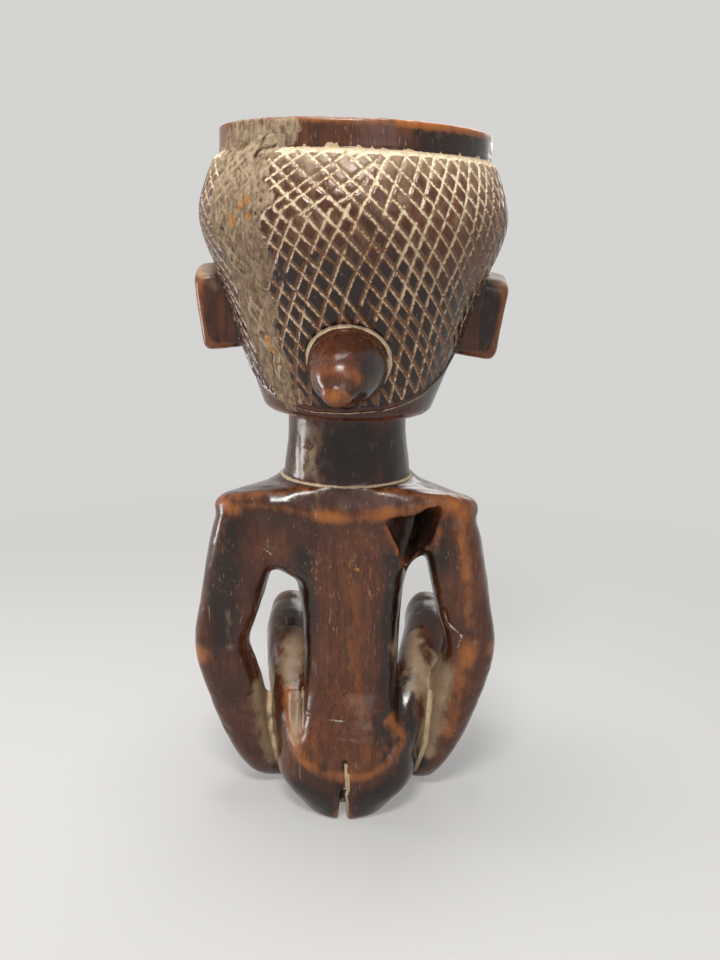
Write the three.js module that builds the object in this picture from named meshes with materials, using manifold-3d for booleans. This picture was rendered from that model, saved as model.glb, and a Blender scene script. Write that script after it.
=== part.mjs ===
// A drinking cup carved from one block of wood: a squatting figure whose hollow head is the bowl.
// Millimetres, +Z up. The figure's back faces -Y and its face +Y. The underside is z = 0.
import * as THREE from "three";
import { mergeVertices } from "three/addons/utils/BufferGeometryUtils.js";
import Module from "manifold-3d";

const wasm = await Module();
wasm.setup();

// Heights of the whole figure
const BODY_HEIGHT = 95; // underside to the edge of the shoulders
const NECK_LENGTH = 28; // edge of the shoulders to the underside of the skull
const HEAD_HEIGHT = 76; // underside of the skull to the top of the rim
const HEAD_LEAN = THREE.MathUtils.degToRad(1.2); // the carver's small lean of the head towards +X

// Bowl and rim
const RIM_RADIUS = 37.1;
const RIM_BAND = 6.5; // height of the plain band under the rim
const RIM_EDGE = 1.2; // rounding of the rim's two edges
const RIM_WALL = 4.2;
const BULGE_RADIUS = 42.3; // the widest ring of the hair
const BULGE_HEIGHT = 54; // above the underside of the skull
const SKULL_BASE_RADIUS = 24.2;
const BOWL_WALL = 7; // at the bulge
const BOWL_DEPTH = 58;

// Neck
const NECK_RADIUS = 17.2;
const NECK_FOOT_RADIUS = 18.8;

// Knob at the back of the hair
const KNOB_RADIUS = 10.8;
const KNOB_TIP_RADIUS = 4.6;
const KNOB_REACH = 13.5; // how far the tip stands out from the hair
const KNOB_HEIGHT = 15.5; // its axis above the underside of the skull, where it leaves the hair
const KNOB_DROP = 5; // how far the tip hangs below that
const KNOB_TURN = 2.4; // the tip's small offset towards -X

// Ears
const EAR_TOP = 40; // above the underside of the skull
const EAR_BOTTOM = 15.5;
const EAR_DEPTH = 14; // front to back
const EAR_ROOT = 14.5; // from the outer face to the root inside the bowl's wall
const EAR_REACH_TOP = 45; // outer face from the head's axis, at the top
const EAR_REACH_BOTTOM = 41.6;
const EAR_EDGE = 2; // rounding of the outer edge
const EAR_RIM = 3; // width of the lip round the hollow
const EAR_HOLLOW = 2.2; // depth of the hollow

// Face
const CHIN_DROP = 4; // how far the chin hangs below the underside of the skull
const FACE_HALF_WIDTH = 26; // at the cheeks
const FACE_FRONT = 36; // the cheeks' front from the head's axis
const NOSE_REACH = 7; // how far the tip stands out from the cheeks
const EYE_SPACING = 11.5; // from the middle of the face

// Trunk
const SHOULDER_HALF_WIDTH = 38.6;
const SHOULDER_DEPTH = 19.5; // half the front to back size at the edge
const WAIST_HALF_WIDTH = 14.6;
const WAIST_SHIFT = 1.8; // the waist stands this far towards +X
const TRUNK_DEPTH = 13; // half the front to back size at the waist
const HIP_HALF_WIDTH = 24.5;
const SEAT_BACK = 24.5; // how far the seat reaches back from the figure's axis
const UNDERSIDE_INSET = 8; // how far the seat rounds in to its flat underside
const CLEFT_WIDTH = 3.2;
const CLEFT_DEPTH = 4;
const CLEFT_HEIGHT = 27;

// Arms
const ARM_THICKNESS = 15.6;
const ARM_EXTRA = 1.6; // the arm at -X is this much thicker on its inner side
const HOLLOW_DEPTH = 10; // of the hollow behind the arm at +X, into the back
const ELBOW_SPREAD = 37.7; // from the figure's axis to the middle of the elbow
const ELBOW_HEIGHT = 51.5;
const WRIST_THICKNESS = 11.5;

// Legs
const KNEE_SPREAD = 22.9;
const KNEE_SHIFT = 3.9; // both knees stand this far towards +X
const KNEE_HEIGHT = 45;
const KNEE_FORWARD = 30;
const KNEE_THICKNESS = 15;
const SHIN_THICKNESS = 11.5;
const FOOT_LENGTH = 31;
const FOOT_WIDTH = 15;
const FOOT_HEIGHT = 8;

// Repair filler
const FILLER_DEPTH = 2; // how deep it sits in the wood
const FILLER_PROUD = 0.6; // how far it stands out
const FILLER_GAP = 0.3; // between the filler and the wood
const FILLER_TURN = THREE.MathUtils.degToRad(42); // round the bowl from the middle of the back towards -X
const NECK_FILLER_TURN = THREE.MathUtils.degToRad(38);

// How finely round forms are cut
const BOWL_SEGMENTS = 44;
const LIMB_SIDES = 14;
const LIMB_STEPS = 2; // rings from one cross-section to the next
const DOME_RINGS = 3;

const SKULL_BASE = BODY_HEIGHT + NECK_LENGTH;
const RIM_TOP = SKULL_BASE + HEAD_HEIGHT;
const RIGHT = new THREE.Vector3(1, 0, 0);
const UP = new THREE.Vector3(0, 0, 1);
const SIDES = [-1, 1];

// A closed geometry as a manifold solid, with its faces turned out.
function solidOf(geometry) {
  const bare = geometry.clone();
  bare.deleteAttribute("normal");
  bare.deleteAttribute("uv");
  const merged = mergeVertices(bare, 1e-4);
  const corners = [];
  for (let i = 0; i < merged.index.count; i += 3) {
    const [a, b, c] = merged.index.array.subarray(i, i + 3);
    if (a !== b && b !== c && c !== a) corners.push([a, b, c]);
  }
  const build = (triangles) =>
    new wasm.Manifold(
      new wasm.Mesh({
        numProp: 3,
        vertProperties: merged.attributes.position.array,
        triVerts: new Uint32Array(triangles.flat()),
      }),
    );
  const made = build(corners);
  return made.volume() > 0 ? made : build(corners.map(([a, b, c]) => [a, c, b]));
}

function join(solids) {
  return solids.reduce((whole, next) => whole.add(next));
}

function geometryOf(solid) {
  const { numProp, numVert, vertProperties, triVerts } = solid.getMesh();
  const positions = new Float32Array(numVert * 3);
  for (let i = 0; i < numVert; i++) {
    positions.set(vertProperties.subarray(i * numProp, i * numProp + 3), i * 3);
  }
  const geometry = new THREE.BufferGeometry();
  geometry.setAttribute("position", new THREE.BufferAttribute(positions, 3));
  geometry.setIndex(new THREE.BufferAttribute(new Uint32Array(triVerts), 1));
  geometry.computeVertexNormals();
  return geometry;
}

// A signed power, which squares off a round section.
function squared(value, square) {
  return Math.sign(value) * Math.abs(value) ** (2 / square);
}

// A closed form lofted through cross-sections. Each has its middle (at), its half sizes across (wide) and
// through (deep), and how square it is (2 is an ellipse). A dome rounds an end off by its length.
function limb(sections, { startDome = 0, endDome = 0, across = RIGHT, steps = LIMB_STEPS, sides = LIMB_SIDES } = {}) {
  const path = new THREE.CatmullRomCurve3(
    sections.map(({ at }) => new THREE.Vector3(...at)),
    false,
    "catmullrom",
  );
  const sizes = new THREE.CatmullRomCurve3(
    sections.map(({ wide, deep, square = 2 }) => new THREE.Vector3(wide, deep, square)),
    false,
    "catmullrom",
  );
  const points = [];
  const addRing = (middle, tangent, size, scale) => {
    const side = across.clone().addScaledVector(tangent, -across.dot(tangent)).normalize();
    const through = tangent.clone().cross(side);
    for (let i = 0; i < sides; i++) {
      const angle = (2 * Math.PI * i) / sides;
      points.push(
        middle
          .clone()
          .addScaledVector(side, squared(Math.cos(angle), size.z) * size.x * scale)
          .addScaledVector(through, squared(Math.sin(angle), size.z) * size.y * scale),
      );
    }
  };
  const addDome = (t, length, outwards) => {
    const tangent = path.getTangent(t);
    const rings = [...Array(DOME_RINGS).keys()].slice(1).map((i) => (Math.PI / 2) * (i / DOME_RINGS));
    for (const angle of outwards < 0 ? rings.reverse() : rings) {
      const middle = path.getPoint(t).addScaledVector(tangent, outwards * length * Math.sin(angle));
      addRing(middle, tangent, sizes.getPoint(t), Math.cos(angle));
    }
    return path.getPoint(t).addScaledVector(tangent, outwards * length);
  };
  const startTip = addDome(0, startDome, startDome ? -1 : 0);
  if (!startDome) points.length = 0;
  const count = (sections.length - 1) * steps;
  for (let i = 0; i <= count; i++) {
    const t = i / count;
    addRing(path.getPoint(t), path.getTangent(t), sizes.getPoint(t), 1);
  }
  const beforeEnd = points.length;
  const endTip = addDome(1, endDome, endDome ? 1 : 0);
  if (!endDome) points.length = beforeEnd;
  const ringCount = points.length / sides;
  const startIndex = points.push(startTip) - 1;
  const endIndex = points.push(endTip) - 1;
  const index = [];
  for (let i = 0; i < sides; i++) {
    const j = (i + 1) % sides;
    const last = (ringCount - 1) * sides;
    index.push(startIndex, j, i, endIndex, last + i, last + j);
    for (let ring = 0; ring < ringCount - 1; ring++) {
      const low = ring * sides;
      const high = low + sides;
      index.push(low + i, low + j, high + j, low + i, high + j, high + i);
    }
  }
  return solidOf(new THREE.BufferGeometry().setFromPoints(points).setIndex(index));
}

// A solid of revolution about the vertical axis, from [radius, height] pairs that start and end on the axis.
function turned(profile, segments = BOWL_SEGMENTS) {
  const points = profile.map(([radius, height]) => new THREE.Vector2(radius, height));
  return solidOf(new THREE.LatheGeometry(points, segments).rotateX(Math.PI / 2));
}

// Points on a smooth curve through [radius, height] pairs.
function smooth(pairs, divisions) {
  const curve = new THREE.SplineCurve(pairs.map(([radius, height]) => new THREE.Vector2(radius, height)));
  return curve.getPoints(divisions).map(({ x, y }) => [x, y]);
}

// A rounded corner of a profile, as an arc from one angle to another.
function corner(radius, height, edge, from, to, steps = 3) {
  return [...Array(steps + 1).keys()].map((i) => {
    const angle = from + ((to - from) * i) / steps;
    return [radius + edge * Math.cos(angle), height + edge * Math.sin(angle)];
  });
}

// The bowl's outside from the skull's underside up to the foot of the rim band, moved out by an offset.
function bowlOutside(offset) {
  const taper = BULGE_RADIUS - SKULL_BASE_RADIUS;
  const bandFoot = HEAD_HEIGHT - RIM_BAND;
  const above = bandFoot - BULGE_HEIGHT;
  return smooth(
    [
      [SKULL_BASE_RADIUS + offset, SKULL_BASE + 1.5],
      [SKULL_BASE_RADIUS + 0.26 * taper + offset, SKULL_BASE + 0.27 * BULGE_HEIGHT],
      [SKULL_BASE_RADIUS + 0.61 * taper + offset, SKULL_BASE + 0.62 * BULGE_HEIGHT],
      [SKULL_BASE_RADIUS + 0.92 * taper + offset, SKULL_BASE + 0.86 * BULGE_HEIGHT],
      [BULGE_RADIUS + offset, SKULL_BASE + BULGE_HEIGHT + 0.05 * above],
      [BULGE_RADIUS - 0.4 * (BULGE_RADIUS - RIM_RADIUS) + offset, SKULL_BASE + BULGE_HEIGHT + 0.6 * above],
      [RIM_RADIUS + 0.3 + offset, SKULL_BASE + bandFoot],
    ],
    12,
  );
}

function bowlBody(offset = 0) {
  return turned([
    [0, SKULL_BASE - offset],
    [SKULL_BASE_RADIUS - 2 + offset, SKULL_BASE - offset],
    ...bowlOutside(offset),
    [RIM_RADIUS + offset, SKULL_BASE + HEAD_HEIGHT - RIM_BAND + 0.8],
    ...corner(RIM_RADIUS - RIM_EDGE + offset, RIM_TOP - RIM_EDGE, RIM_EDGE, 0, Math.PI / 2),
    [0, RIM_TOP],
  ]);
}

// The hollow that holds the drink, cut past the rim.
function bowlHollow() {
  const mouth = RIM_RADIUS - RIM_WALL;
  const floor = RIM_TOP - BOWL_DEPTH;
  const inside = BULGE_RADIUS - BOWL_WALL;
  return turned(
    [
      [0, floor],
      ...smooth(
        [
          [0.35 * inside, floor + 1.2],
          [0.66 * inside, floor + 0.15 * BOWL_DEPTH],
          [0.88 * inside, floor + 0.38 * BOWL_DEPTH],
          [inside, floor + 0.68 * BOWL_DEPTH],
          [mouth, RIM_TOP - RIM_EDGE],
        ],
        8,
      ),
      [mouth + RIM_EDGE, RIM_TOP],
      [mouth + RIM_EDGE, RIM_TOP + 4],
      [0, RIM_TOP + 4],
    ],
    BOWL_SEGMENTS,
  );
}

function neck() {
  const inTheSkull = 6;
  const reach = NECK_LENGTH + inTheSkull;
  return limb(
    [
      { at: [0, 0, BODY_HEIGHT], wide: NECK_FOOT_RADIUS - 1, deep: NECK_FOOT_RADIUS - 1 },
      { at: [0, 0, BODY_HEIGHT + 0.3 * reach], wide: NECK_FOOT_RADIUS - 0.3, deep: NECK_FOOT_RADIUS - 0.6 },
      { at: [0, 0, BODY_HEIGHT + 0.65 * reach], wide: NECK_RADIUS, deep: NECK_RADIUS },
      { at: [0, 0, BODY_HEIGHT + reach], wide: NECK_RADIUS, deep: NECK_RADIUS },
    ],
    { sides: 24 },
  );
}

function knob() {
  const root = SKULL_BASE_RADIUS;
  const hair = root + 7;
  const axis = SKULL_BASE + KNOB_HEIGHT;
  return limb(
    [
      { at: [0, -root, axis + 1], wide: KNOB_RADIUS + 0.8, deep: KNOB_RADIUS + 1 },
      { at: [-0.2 * KNOB_TURN, -hair, axis], wide: KNOB_RADIUS - 0.6, deep: KNOB_RADIUS - 0.6 },
      {
        at: [-0.7 * KNOB_TURN, -hair - 0.55 * KNOB_REACH, axis - 0.45 * KNOB_DROP],
        wide: 0.5 * (KNOB_RADIUS + KNOB_TIP_RADIUS) + 0.6,
        deep: 0.5 * (KNOB_RADIUS + KNOB_TIP_RADIUS),
      },
      { at: [-KNOB_TURN, -hair - KNOB_REACH + 2.4, axis - KNOB_DROP], wide: KNOB_TIP_RADIUS, deep: KNOB_TIP_RADIUS - 0.8 },
    ],
    { endDome: 2.4 },
  );
}

// A closed outline through corner points, each corner rounded off by the same length.
function roundedOutline(corners, rounding) {
  const shape = new THREE.Shape();
  const towards = (from, to) => from.clone().lerp(to, rounding / from.distanceTo(to));
  corners.forEach((here, i) => {
    const before = towards(here, corners.at(i - 1));
    const after = towards(here, corners[(i + 1) % corners.length]);
    if (i === 0) shape.moveTo(before.x, before.y);
    else shape.lineTo(before.x, before.y);
    shape.quadraticCurveTo(here.x, here.y, after.x, after.y);
  });
  return shape;
}

// The ear's outline seen from the side: upright in front and behind, with a top that falls to the back.
function earOutline(inset) {
  const front = EAR_DEPTH / 2 - inset;
  const corners = [
    [front, EAR_BOTTOM + inset],
    [front, EAR_TOP - inset],
    [-front, EAR_TOP - inset - 0.2 * EAR_DEPTH],
    [-front, EAR_BOTTOM + inset],
  ].map(([x, y]) => new THREE.Vector2(x, y));
  return roundedOutline(corners, 0.42 * front);
}

// The outline stands up in the plane of the head's side, with its thickness running outwards along X.
function ear(side) {
  const stand = (geometry, reach) => {
    geometry.applyMatrix4(new THREE.Matrix4().makeBasis(new THREE.Vector3(0, 1, 0), UP, RIGHT));
    const lean = Math.atan2(EAR_REACH_TOP - EAR_REACH_BOTTOM, EAR_TOP - EAR_BOTTOM);
    geometry.translate(0, 0, -EAR_BOTTOM);
    geometry.rotateY(lean);
    geometry.translate(reach, 3, EAR_BOTTOM + SKULL_BASE);
    geometry.scale(side, 1, 1);
    return solidOf(geometry);
  };
  const body = new THREE.ExtrudeGeometry(earOutline(EAR_EDGE), {
    depth: EAR_ROOT - EAR_EDGE,
    bevelThickness: EAR_EDGE,
    bevelSize: EAR_EDGE,
    bevelSegments: 3,
    curveSegments: 4,
  });
  const hollow = new THREE.ExtrudeGeometry(earOutline(EAR_EDGE + EAR_RIM), {
    depth: 2 * EAR_HOLLOW,
    bevelEnabled: false,
    curveSegments: 4,
  });
  return stand(body, EAR_REACH_BOTTOM - EAR_ROOT).subtract(stand(hollow, EAR_REACH_BOTTOM - EAR_HOLLOW));
}

// The face carries the planes of the front of the head, and is set out in thirds from chin to hairline.
function face() {
  const chin = SKULL_BASE - CHIN_DROP;
  const third = EAR_BOTTOM + CHIN_DROP + 1.5;
  const level = (thirds) => chin + thirds * third;
  const mass = limb(
    [
      { at: [0, FACE_FRONT - 18, level(0.05)], wide: 0.46 * FACE_HALF_WIDTH, deep: 11 },
      { at: [0, FACE_FRONT - 18, level(0.35)], wide: 0.68 * FACE_HALF_WIDTH, deep: 16.5 },
      { at: [0, FACE_FRONT - 20, level(0.85)], wide: 0.88 * FACE_HALF_WIDTH, deep: 19.6 },
      { at: [0, FACE_FRONT - 22, level(1.45)], wide: FACE_HALF_WIDTH, deep: 22 },
      { at: [0, FACE_FRONT - 24, level(2)], wide: 1.12 * FACE_HALF_WIDTH, deep: 25.6 },
      { at: [0, FACE_FRONT - 28, level(2.7)], wide: 1.25 * FACE_HALF_WIDTH, deep: 32 },
    ],
    { startDome: 3, sides: 20 },
  );
  const nose = limb(
    [
      { at: [0, FACE_FRONT - 1.5, level(2.05)], wide: 3, deep: 3 },
      { at: [0, FACE_FRONT + 0.3 * NOSE_REACH, level(1.65)], wide: 2.6, deep: 3.2 },
      { at: [0, FACE_FRONT + NOSE_REACH - 4.4, level(1.25)], wide: 4.2, deep: 4.2 },
      { at: [0, FACE_FRONT + NOSE_REACH - 5, level(1.07)], wide: 5.4, deep: 4 },
    ],
    { endDome: 1.6, sides: 12 },
  );
  const brows = SIDES.map((side) =>
    limb(
      [
        { at: [side * 1.5, FACE_FRONT + 0.6, level(1.98)], wide: 1.6, deep: 1.8 },
        { at: [side * 12, FACE_FRONT - 0.8, level(2.12)], wide: 1.7, deep: 1.8 },
        { at: [side * 22, FACE_FRONT - 9, level(1.95)], wide: 1.2, deep: 1.4 },
      ],
      { across: UP, startDome: 1, endDome: 1, sides: 8 },
    ),
  );
  const eyes = SIDES.map((side) =>
    solidOf(
      new THREE.SphereGeometry(1, 12, 6)
        .scale(6.4, 3.4, 2.9)
        .rotateZ(-side * 0.3)
        .translate(side * EYE_SPACING, FACE_FRONT - 3.4, level(1.72)),
    ),
  );
  const lips = [0.64, 0.52].map((thirds) =>
    limb(
      [
        { at: [-8, FACE_FRONT - 3.6, level(thirds)], wide: 0.9, deep: 1.4 },
        { at: [0, FACE_FRONT - 0.2, level(thirds)], wide: 1.5, deep: 2.2 },
        { at: [8, FACE_FRONT - 3.6, level(thirds)], wide: 0.9, deep: 1.4 },
      ],
      { across: UP, startDome: 1, endDome: 1, sides: 8 },
    ),
  );
  return join([mass, nose, ...brows, ...eyes, ...lips]);
}

// Everything of the head that leans with it, before the hollow is cut.
const headFrame = new THREE.Matrix4()
  .makeTranslation(0, 0, SKULL_BASE)
  .multiply(new THREE.Matrix4().makeRotationY(HEAD_LEAN))
  .multiply(new THREE.Matrix4().makeTranslation(0, 0, -SKULL_BASE));

function leaned(solid) {
  return solidOf(geometryOf(solid).applyMatrix4(headFrame));
}

function trunk() {
  const back = -TRUNK_DEPTH - 3; // the flat plane of the back
  const between = (low, high, share) => low + (high - low) * share;
  const flare = (share) => between(WAIST_HALF_WIDTH, SHOULDER_HALF_WIDTH, share);
  const seat = (share) => between(-SEAT_BACK, back, share);
  const hip = (share) => between(WAIST_HALF_WIDTH, HIP_HALF_WIDTH, share);
  const section = (level, wide, front, rear, shift, square) => ({
    at: [WAIST_SHIFT * shift, (front + rear) / 2, level * BODY_HEIGHT],
    wide,
    deep: (front - rear) / 2,
    square,
  });
  return limb(
    [
      section(0.0, 0.38 * HIP_HALF_WIDTH, 12, -SEAT_BACK + UNDERSIDE_INSET, 0.3, 2.2),
      section(0.045, 0.6 * HIP_HALF_WIDTH, 13, -SEAT_BACK + 0.45 * UNDERSIDE_INSET, 0.35, 2.2),
      section(0.13, 0.87 * HIP_HALF_WIDTH, 13, seat(0.06), 0.45, 2.4),
      section(0.21, 0.86 * HIP_HALF_WIDTH, 12, seat(0), 0.6, 2.6),
      section(0.27, hip(0.3), 11, seat(0.15), 0.75, 2.7),
      section(0.33, hip(0.06), 10, seat(0.45), 0.85, 2.8),
      section(0.42, WAIST_HALF_WIDTH - 0.2, 10, seat(0.85), 0.95, 3),
      section(0.56, WAIST_HALF_WIDTH, TRUNK_DEPTH - 3, back, 1, 3),
      section(0.7, flare(0.03), TRUNK_DEPTH - 2, back - 0.5, 0.95, 3),
      section(0.79, flare(0.11), TRUNK_DEPTH - 1, back - 1, 0.8, 3),
      section(0.83, flare(0.3), TRUNK_DEPTH - 1, back - 1.3, 0.6, 3),
      section(0.86, flare(0.62), TRUNK_DEPTH - 0.5, back - 1.6, 0.4, 3),
      section(0.9, flare(0.88), TRUNK_DEPTH, back - 2.2, 0.2, 3.2),
      section(0.96, SHOULDER_HALF_WIDTH - 1, SHOULDER_DEPTH - 4.5, -SHOULDER_DEPTH + 0.3, 0, 3.8),
      section(1.0, SHOULDER_HALF_WIDTH - 0.2, SHOULDER_DEPTH - 2.5, -SHOULDER_DEPTH - 0.5, 0, 3.8),
      section(1.035, 0.84 * SHOULDER_HALF_WIDTH, SHOULDER_DEPTH - 1.5, -SHOULDER_DEPTH + 0.3, 0, 2.8),
      section(1.07, 0.58 * SHOULDER_HALF_WIDTH, NECK_FOOT_RADIUS - 0.2, -NECK_FOOT_RADIUS + 0.2, 0, 2.3),
      section(1.1, NECK_FOOT_RADIUS - 0.2, NECK_FOOT_RADIUS - 0.8, -NECK_FOOT_RADIUS + 0.8, 0, 2),
    ],
    { sides: 24 },
  );
}

// A wedge between the buttocks, widest and deepest at the underside.
function cleft() {
  const wedge = new THREE.Shape();
  wedge.moveTo(0, CLEFT_HEIGHT);
  wedge.lineTo(-CLEFT_WIDTH / 2, -6);
  wedge.lineTo(CLEFT_WIDTH / 2, -6);
  const geometry = new THREE.ExtrudeGeometry(wedge, { depth: 40, bevelEnabled: false });
  geometry.rotateX(Math.PI / 2); // the height stays up and the depth runs towards -Y
  geometry.rotateX(Math.atan2(UNDERSIDE_INSET + CLEFT_DEPTH, CLEFT_HEIGHT));
  geometry.translate(0, -SEAT_BACK + UNDERSIDE_INSET + CLEFT_DEPTH, 0);
  return solidOf(geometry);
}

// A three-sided hollow under the yoke's edge at +X, whose floor falls from the middle of the back to the arm.
function armpitHollow() {
  const edge = SHOULDER_HALF_WIDTH - ARM_THICKNESS; // the arm's inner side
  const outline = new THREE.Shape();
  outline.moveTo(-7.5, BODY_HEIGHT + 0.6);
  outline.lineTo(8.2, BODY_HEIGHT + 3.4);
  outline.lineTo(2.6, 0.8 * BODY_HEIGHT);
  const geometry = new THREE.ExtrudeGeometry(outline, { depth: 40, bevelEnabled: false });
  geometry.rotateX(Math.PI / 2); // the height stays up and the depth runs towards -Y
  geometry.rotateZ(THREE.MathUtils.degToRad(28));
  geometry.translate(edge - 8.6, -SHOULDER_DEPTH + HOLLOW_DEPTH, 0);
  return solidOf(geometry);
}

function arm(side) {
  const half = ARM_THICKNESS / 2;
  const wrist = WRIST_THICKNESS / 2;
  const shoulder = SHOULDER_HALF_WIDTH - half;
  const towardsElbow = (share) => shoulder + (ELBOW_SPREAD - shoulder) * share;
  const upper = (share) => ELBOW_HEIGHT + (BODY_HEIGHT - ELBOW_HEIGHT) * share;
  const lower = (share) => ELBOW_HEIGHT * share;
  const section = (x, y, z, wide, deep, square, uneven, withLeg = 0) => {
    const extra = side < 0 ? (ARM_EXTRA / 2) * uneven : 0;
    return { at: [side * (x - extra) + KNEE_SHIFT * withLeg, y, z], wide: wide + extra, deep, square };
  };
  return limb(
    [
      section(shoulder - 1.6, -4, upper(1), half - 0.7, half + 5, 3.4, 1.25),
      section(shoulder - 0.4, -4.5, upper(0.86), half + 0.4, half + 6, 3.4, 1.35),
      section(towardsElbow(0.22), -5, upper(0.66), half + 0.6, half + 4.8, 3.4, 1.65),
      section(towardsElbow(0.62), -5.2, upper(0.34), half + 0.4, half + 2, 3.2, 1.05),
      section(ELBOW_SPREAD, -5.4, ELBOW_HEIGHT, half - 0.2, half + 0.8, 3, 0.45),
      section(ELBOW_SPREAD - 3.4, -4.2, lower(0.71), half - 0.2, half, 2.8, 0.85),
      section(ELBOW_SPREAD - 6.6, -1.5, lower(0.43), 0.4 * half + 0.6 * wrist, half - 0.8, 2.6, 0.95),
      section(ELBOW_SPREAD - 11.4, 1.5, lower(0.2), wrist, wrist + 0.3, 2.5, 0.55),
      section(ELBOW_SPREAD - 16, 6.5, lower(0.105), wrist - 0.4, wrist - 0.8, 2.5, 0, 0.4),
      section(ELBOW_SPREAD - 18.4, 15, lower(0.13), wrist + 0.2, wrist - 1.4, 2.6, 0, 0.7),
      section(ELBOW_SPREAD - 20, 23, lower(0.19), wrist - 0.2, wrist - 2.6, 2.6, 0, 0.9),
    ],
    { endDome: 2.5 },
  );
}

function leg(side) {
  const knee = KNEE_THICKNESS / 2;
  const shin = SHIN_THICKNESS / 2;
  const middle = side * KNEE_SPREAD + KNEE_SHIFT; // of the knee, across
  const hip = side * 16 + 0.4 * KNEE_SHIFT;
  const inwards = (distance) => middle - side * distance;
  const thigh = limb(
    [
      { at: [side * 11 + 0.2 * KNEE_SHIFT, -13, 0.33 * KNEE_HEIGHT], wide: 7.2, deep: 10.5, square: 2.4 },
      { at: [hip, -5, 0.5 * KNEE_HEIGHT], wide: 7, deep: 11.5, square: 2.5 },
      { at: [0.55 * hip + 0.45 * middle, 5, 0.7 * KNEE_HEIGHT], wide: 7.4, deep: 12.5, square: 2.5 },
      { at: [inwards(0.6), 0.6 * KNEE_FORWARD, 0.92 * KNEE_HEIGHT], wide: knee + 0.2, deep: 12, square: 2.4 },
      { at: [middle, KNEE_FORWARD - 2, KNEE_HEIGHT + 1.5], wide: knee - 0.5, deep: 9.2, square: 2.2 },
    ],
    { startDome: 3, endDome: 8.5 },
  );
  const ankleForward = KNEE_FORWARD - 6;
  const lowerLeg = limb(
    [
      { at: [middle, KNEE_FORWARD - 1, KNEE_HEIGHT], wide: knee - 0.5, deep: knee + 0.3 },
      { at: [inwards(1), KNEE_FORWARD - 0.8, 0.78 * KNEE_HEIGHT], wide: shin + 0.6, deep: shin + 1 },
      { at: [inwards(2.4), KNEE_FORWARD - 2.6, 0.5 * KNEE_HEIGHT], wide: shin + 0.5, deep: shin + 1.8 },
      { at: [inwards(5.2), ankleForward, 0.1 * KNEE_HEIGHT], wide: shin - 0.8, deep: shin - 0.2 },
    ],
    { startDome: 7 },
  );
  const heel = ankleForward - 10;
  const sole = (share) => share * FOOT_HEIGHT;
  const foot = limb(
    [
      { at: [inwards(6.2), heel, sole(0.5)], wide: 0.38 * FOOT_WIDTH, deep: sole(0.62), square: 2.2 },
      { at: [inwards(4.6), heel + 0.5 * FOOT_LENGTH, sole(0.46)], wide: 0.42 * FOOT_WIDTH, deep: sole(0.62), square: 2.4 },
      { at: [inwards(2.6), heel + FOOT_LENGTH - 3, sole(0.3)], wide: 0.5 * FOOT_WIDTH, deep: sole(0.42), square: 3 },
    ],
    { startDome: 2, endDome: 3 },
  );
  return join([thigh, lowerLeg, foot]);
}

// The outline of a filler patch, seen square on: a wandering strip from a low end to a high end.
function patchOutline(low, high, widths, wander) {
  const rightEdge = widths.map((width, i) => {
    const share = i / (widths.length - 1);
    return new THREE.Vector2(width / 2 + wander[i], low + share * (high - low));
  });
  const leftEdge = widths.map((width, i) => new THREE.Vector2(wander[i] - width / 2, rightEdge[i].y));
  const shape = new THREE.Shape();
  shape.moveTo(rightEdge[0].x, rightEdge[0].y);
  shape.splineThru(rightEdge.slice(1));
  shape.lineTo(leftEdge.at(-1).x, leftEdge.at(-1).y);
  shape.splineThru(leftEdge.slice(0, -1).reverse());
  return shape;
}

// A prism that runs out from the head's axis through that outline, turned round from the middle of the back.
function patchWindow(shape, turn, grown) {
  const geometry = new THREE.ExtrudeGeometry(shape, {
    depth: 60,
    bevelEnabled: grown > 0,
    bevelThickness: grown,
    bevelSize: grown,
    bevelSegments: 1,
    curveSegments: 3,
  });
  geometry.rotateX(Math.PI / 2);
  geometry.translate(0, -8, 0);
  geometry.rotateZ(-turn);
  return solidOf(geometry);
}

// The bowl's filler and the recess that holds it, both in the head's own frame.
const bowlPatch = patchOutline(
  SKULL_BASE + 5,
  RIM_TOP - RIM_EDGE - 0.6,
  [9, 13, 17, 21, 22, 19, 17, 14],
  [7, 5, 2.5, 0, -2, -1, 1, 2],
);
const bowlFiller = leaned(
  bowlBody(FILLER_PROUD).subtract(bowlBody(-FILLER_DEPTH)).intersect(patchWindow(bowlPatch, FILLER_TURN, 0)),
);
const bowlRecess = leaned(
  bowlBody(FILLER_PROUD + 2)
    .subtract(bowlBody(-FILLER_DEPTH - FILLER_GAP))
    .intersect(patchWindow(bowlPatch, FILLER_TURN, FILLER_GAP)),
);

// A plain column about the neck's axis.
function column(radius) {
  return turned(
    [
      [0, BODY_HEIGHT],
      [radius, BODY_HEIGHT],
      [radius, SKULL_BASE - 1],
      [0, SKULL_BASE - 1],
    ],
    48,
  );
}

const neckPatch = patchOutline(BODY_HEIGHT + 9.5, SKULL_BASE - 4, [5, 7, 8, 6], [0.5, 0, -0.5, 0]);
const neckFiller = column(NECK_RADIUS + 1)
  .subtract(column(NECK_RADIUS - FILLER_DEPTH))
  .intersect(patchWindow(neckPatch, NECK_FILLER_TURN, 0));
const neckRecess = column(NECK_RADIUS + 6)
  .subtract(column(NECK_RADIUS - FILLER_DEPTH - FILLER_GAP))
  .intersect(patchWindow(neckPatch, NECK_FILLER_TURN, FILLER_GAP));

// The block stops at the flat underside.
function aboveGround() {
  return solidOf(new THREE.BoxGeometry(400, 400, 600).translate(0, 0, 300));
}

const head = leaned(join([bowlBody(), knob(), ear(-1), ear(1), face()]));
const body = join([trunk(), neck(), ...SIDES.map(arm), ...SIDES.map(leg)]).intersect(aboveGround());
const block = head
  .add(body)
  .subtract(leaned(bowlHollow()))
  .subtract(cleft())
  .subtract(armpitHollow())
  .subtract(bowlRecess)
  .subtract(neckRecess);

const cup = new THREE.Group();

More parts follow.
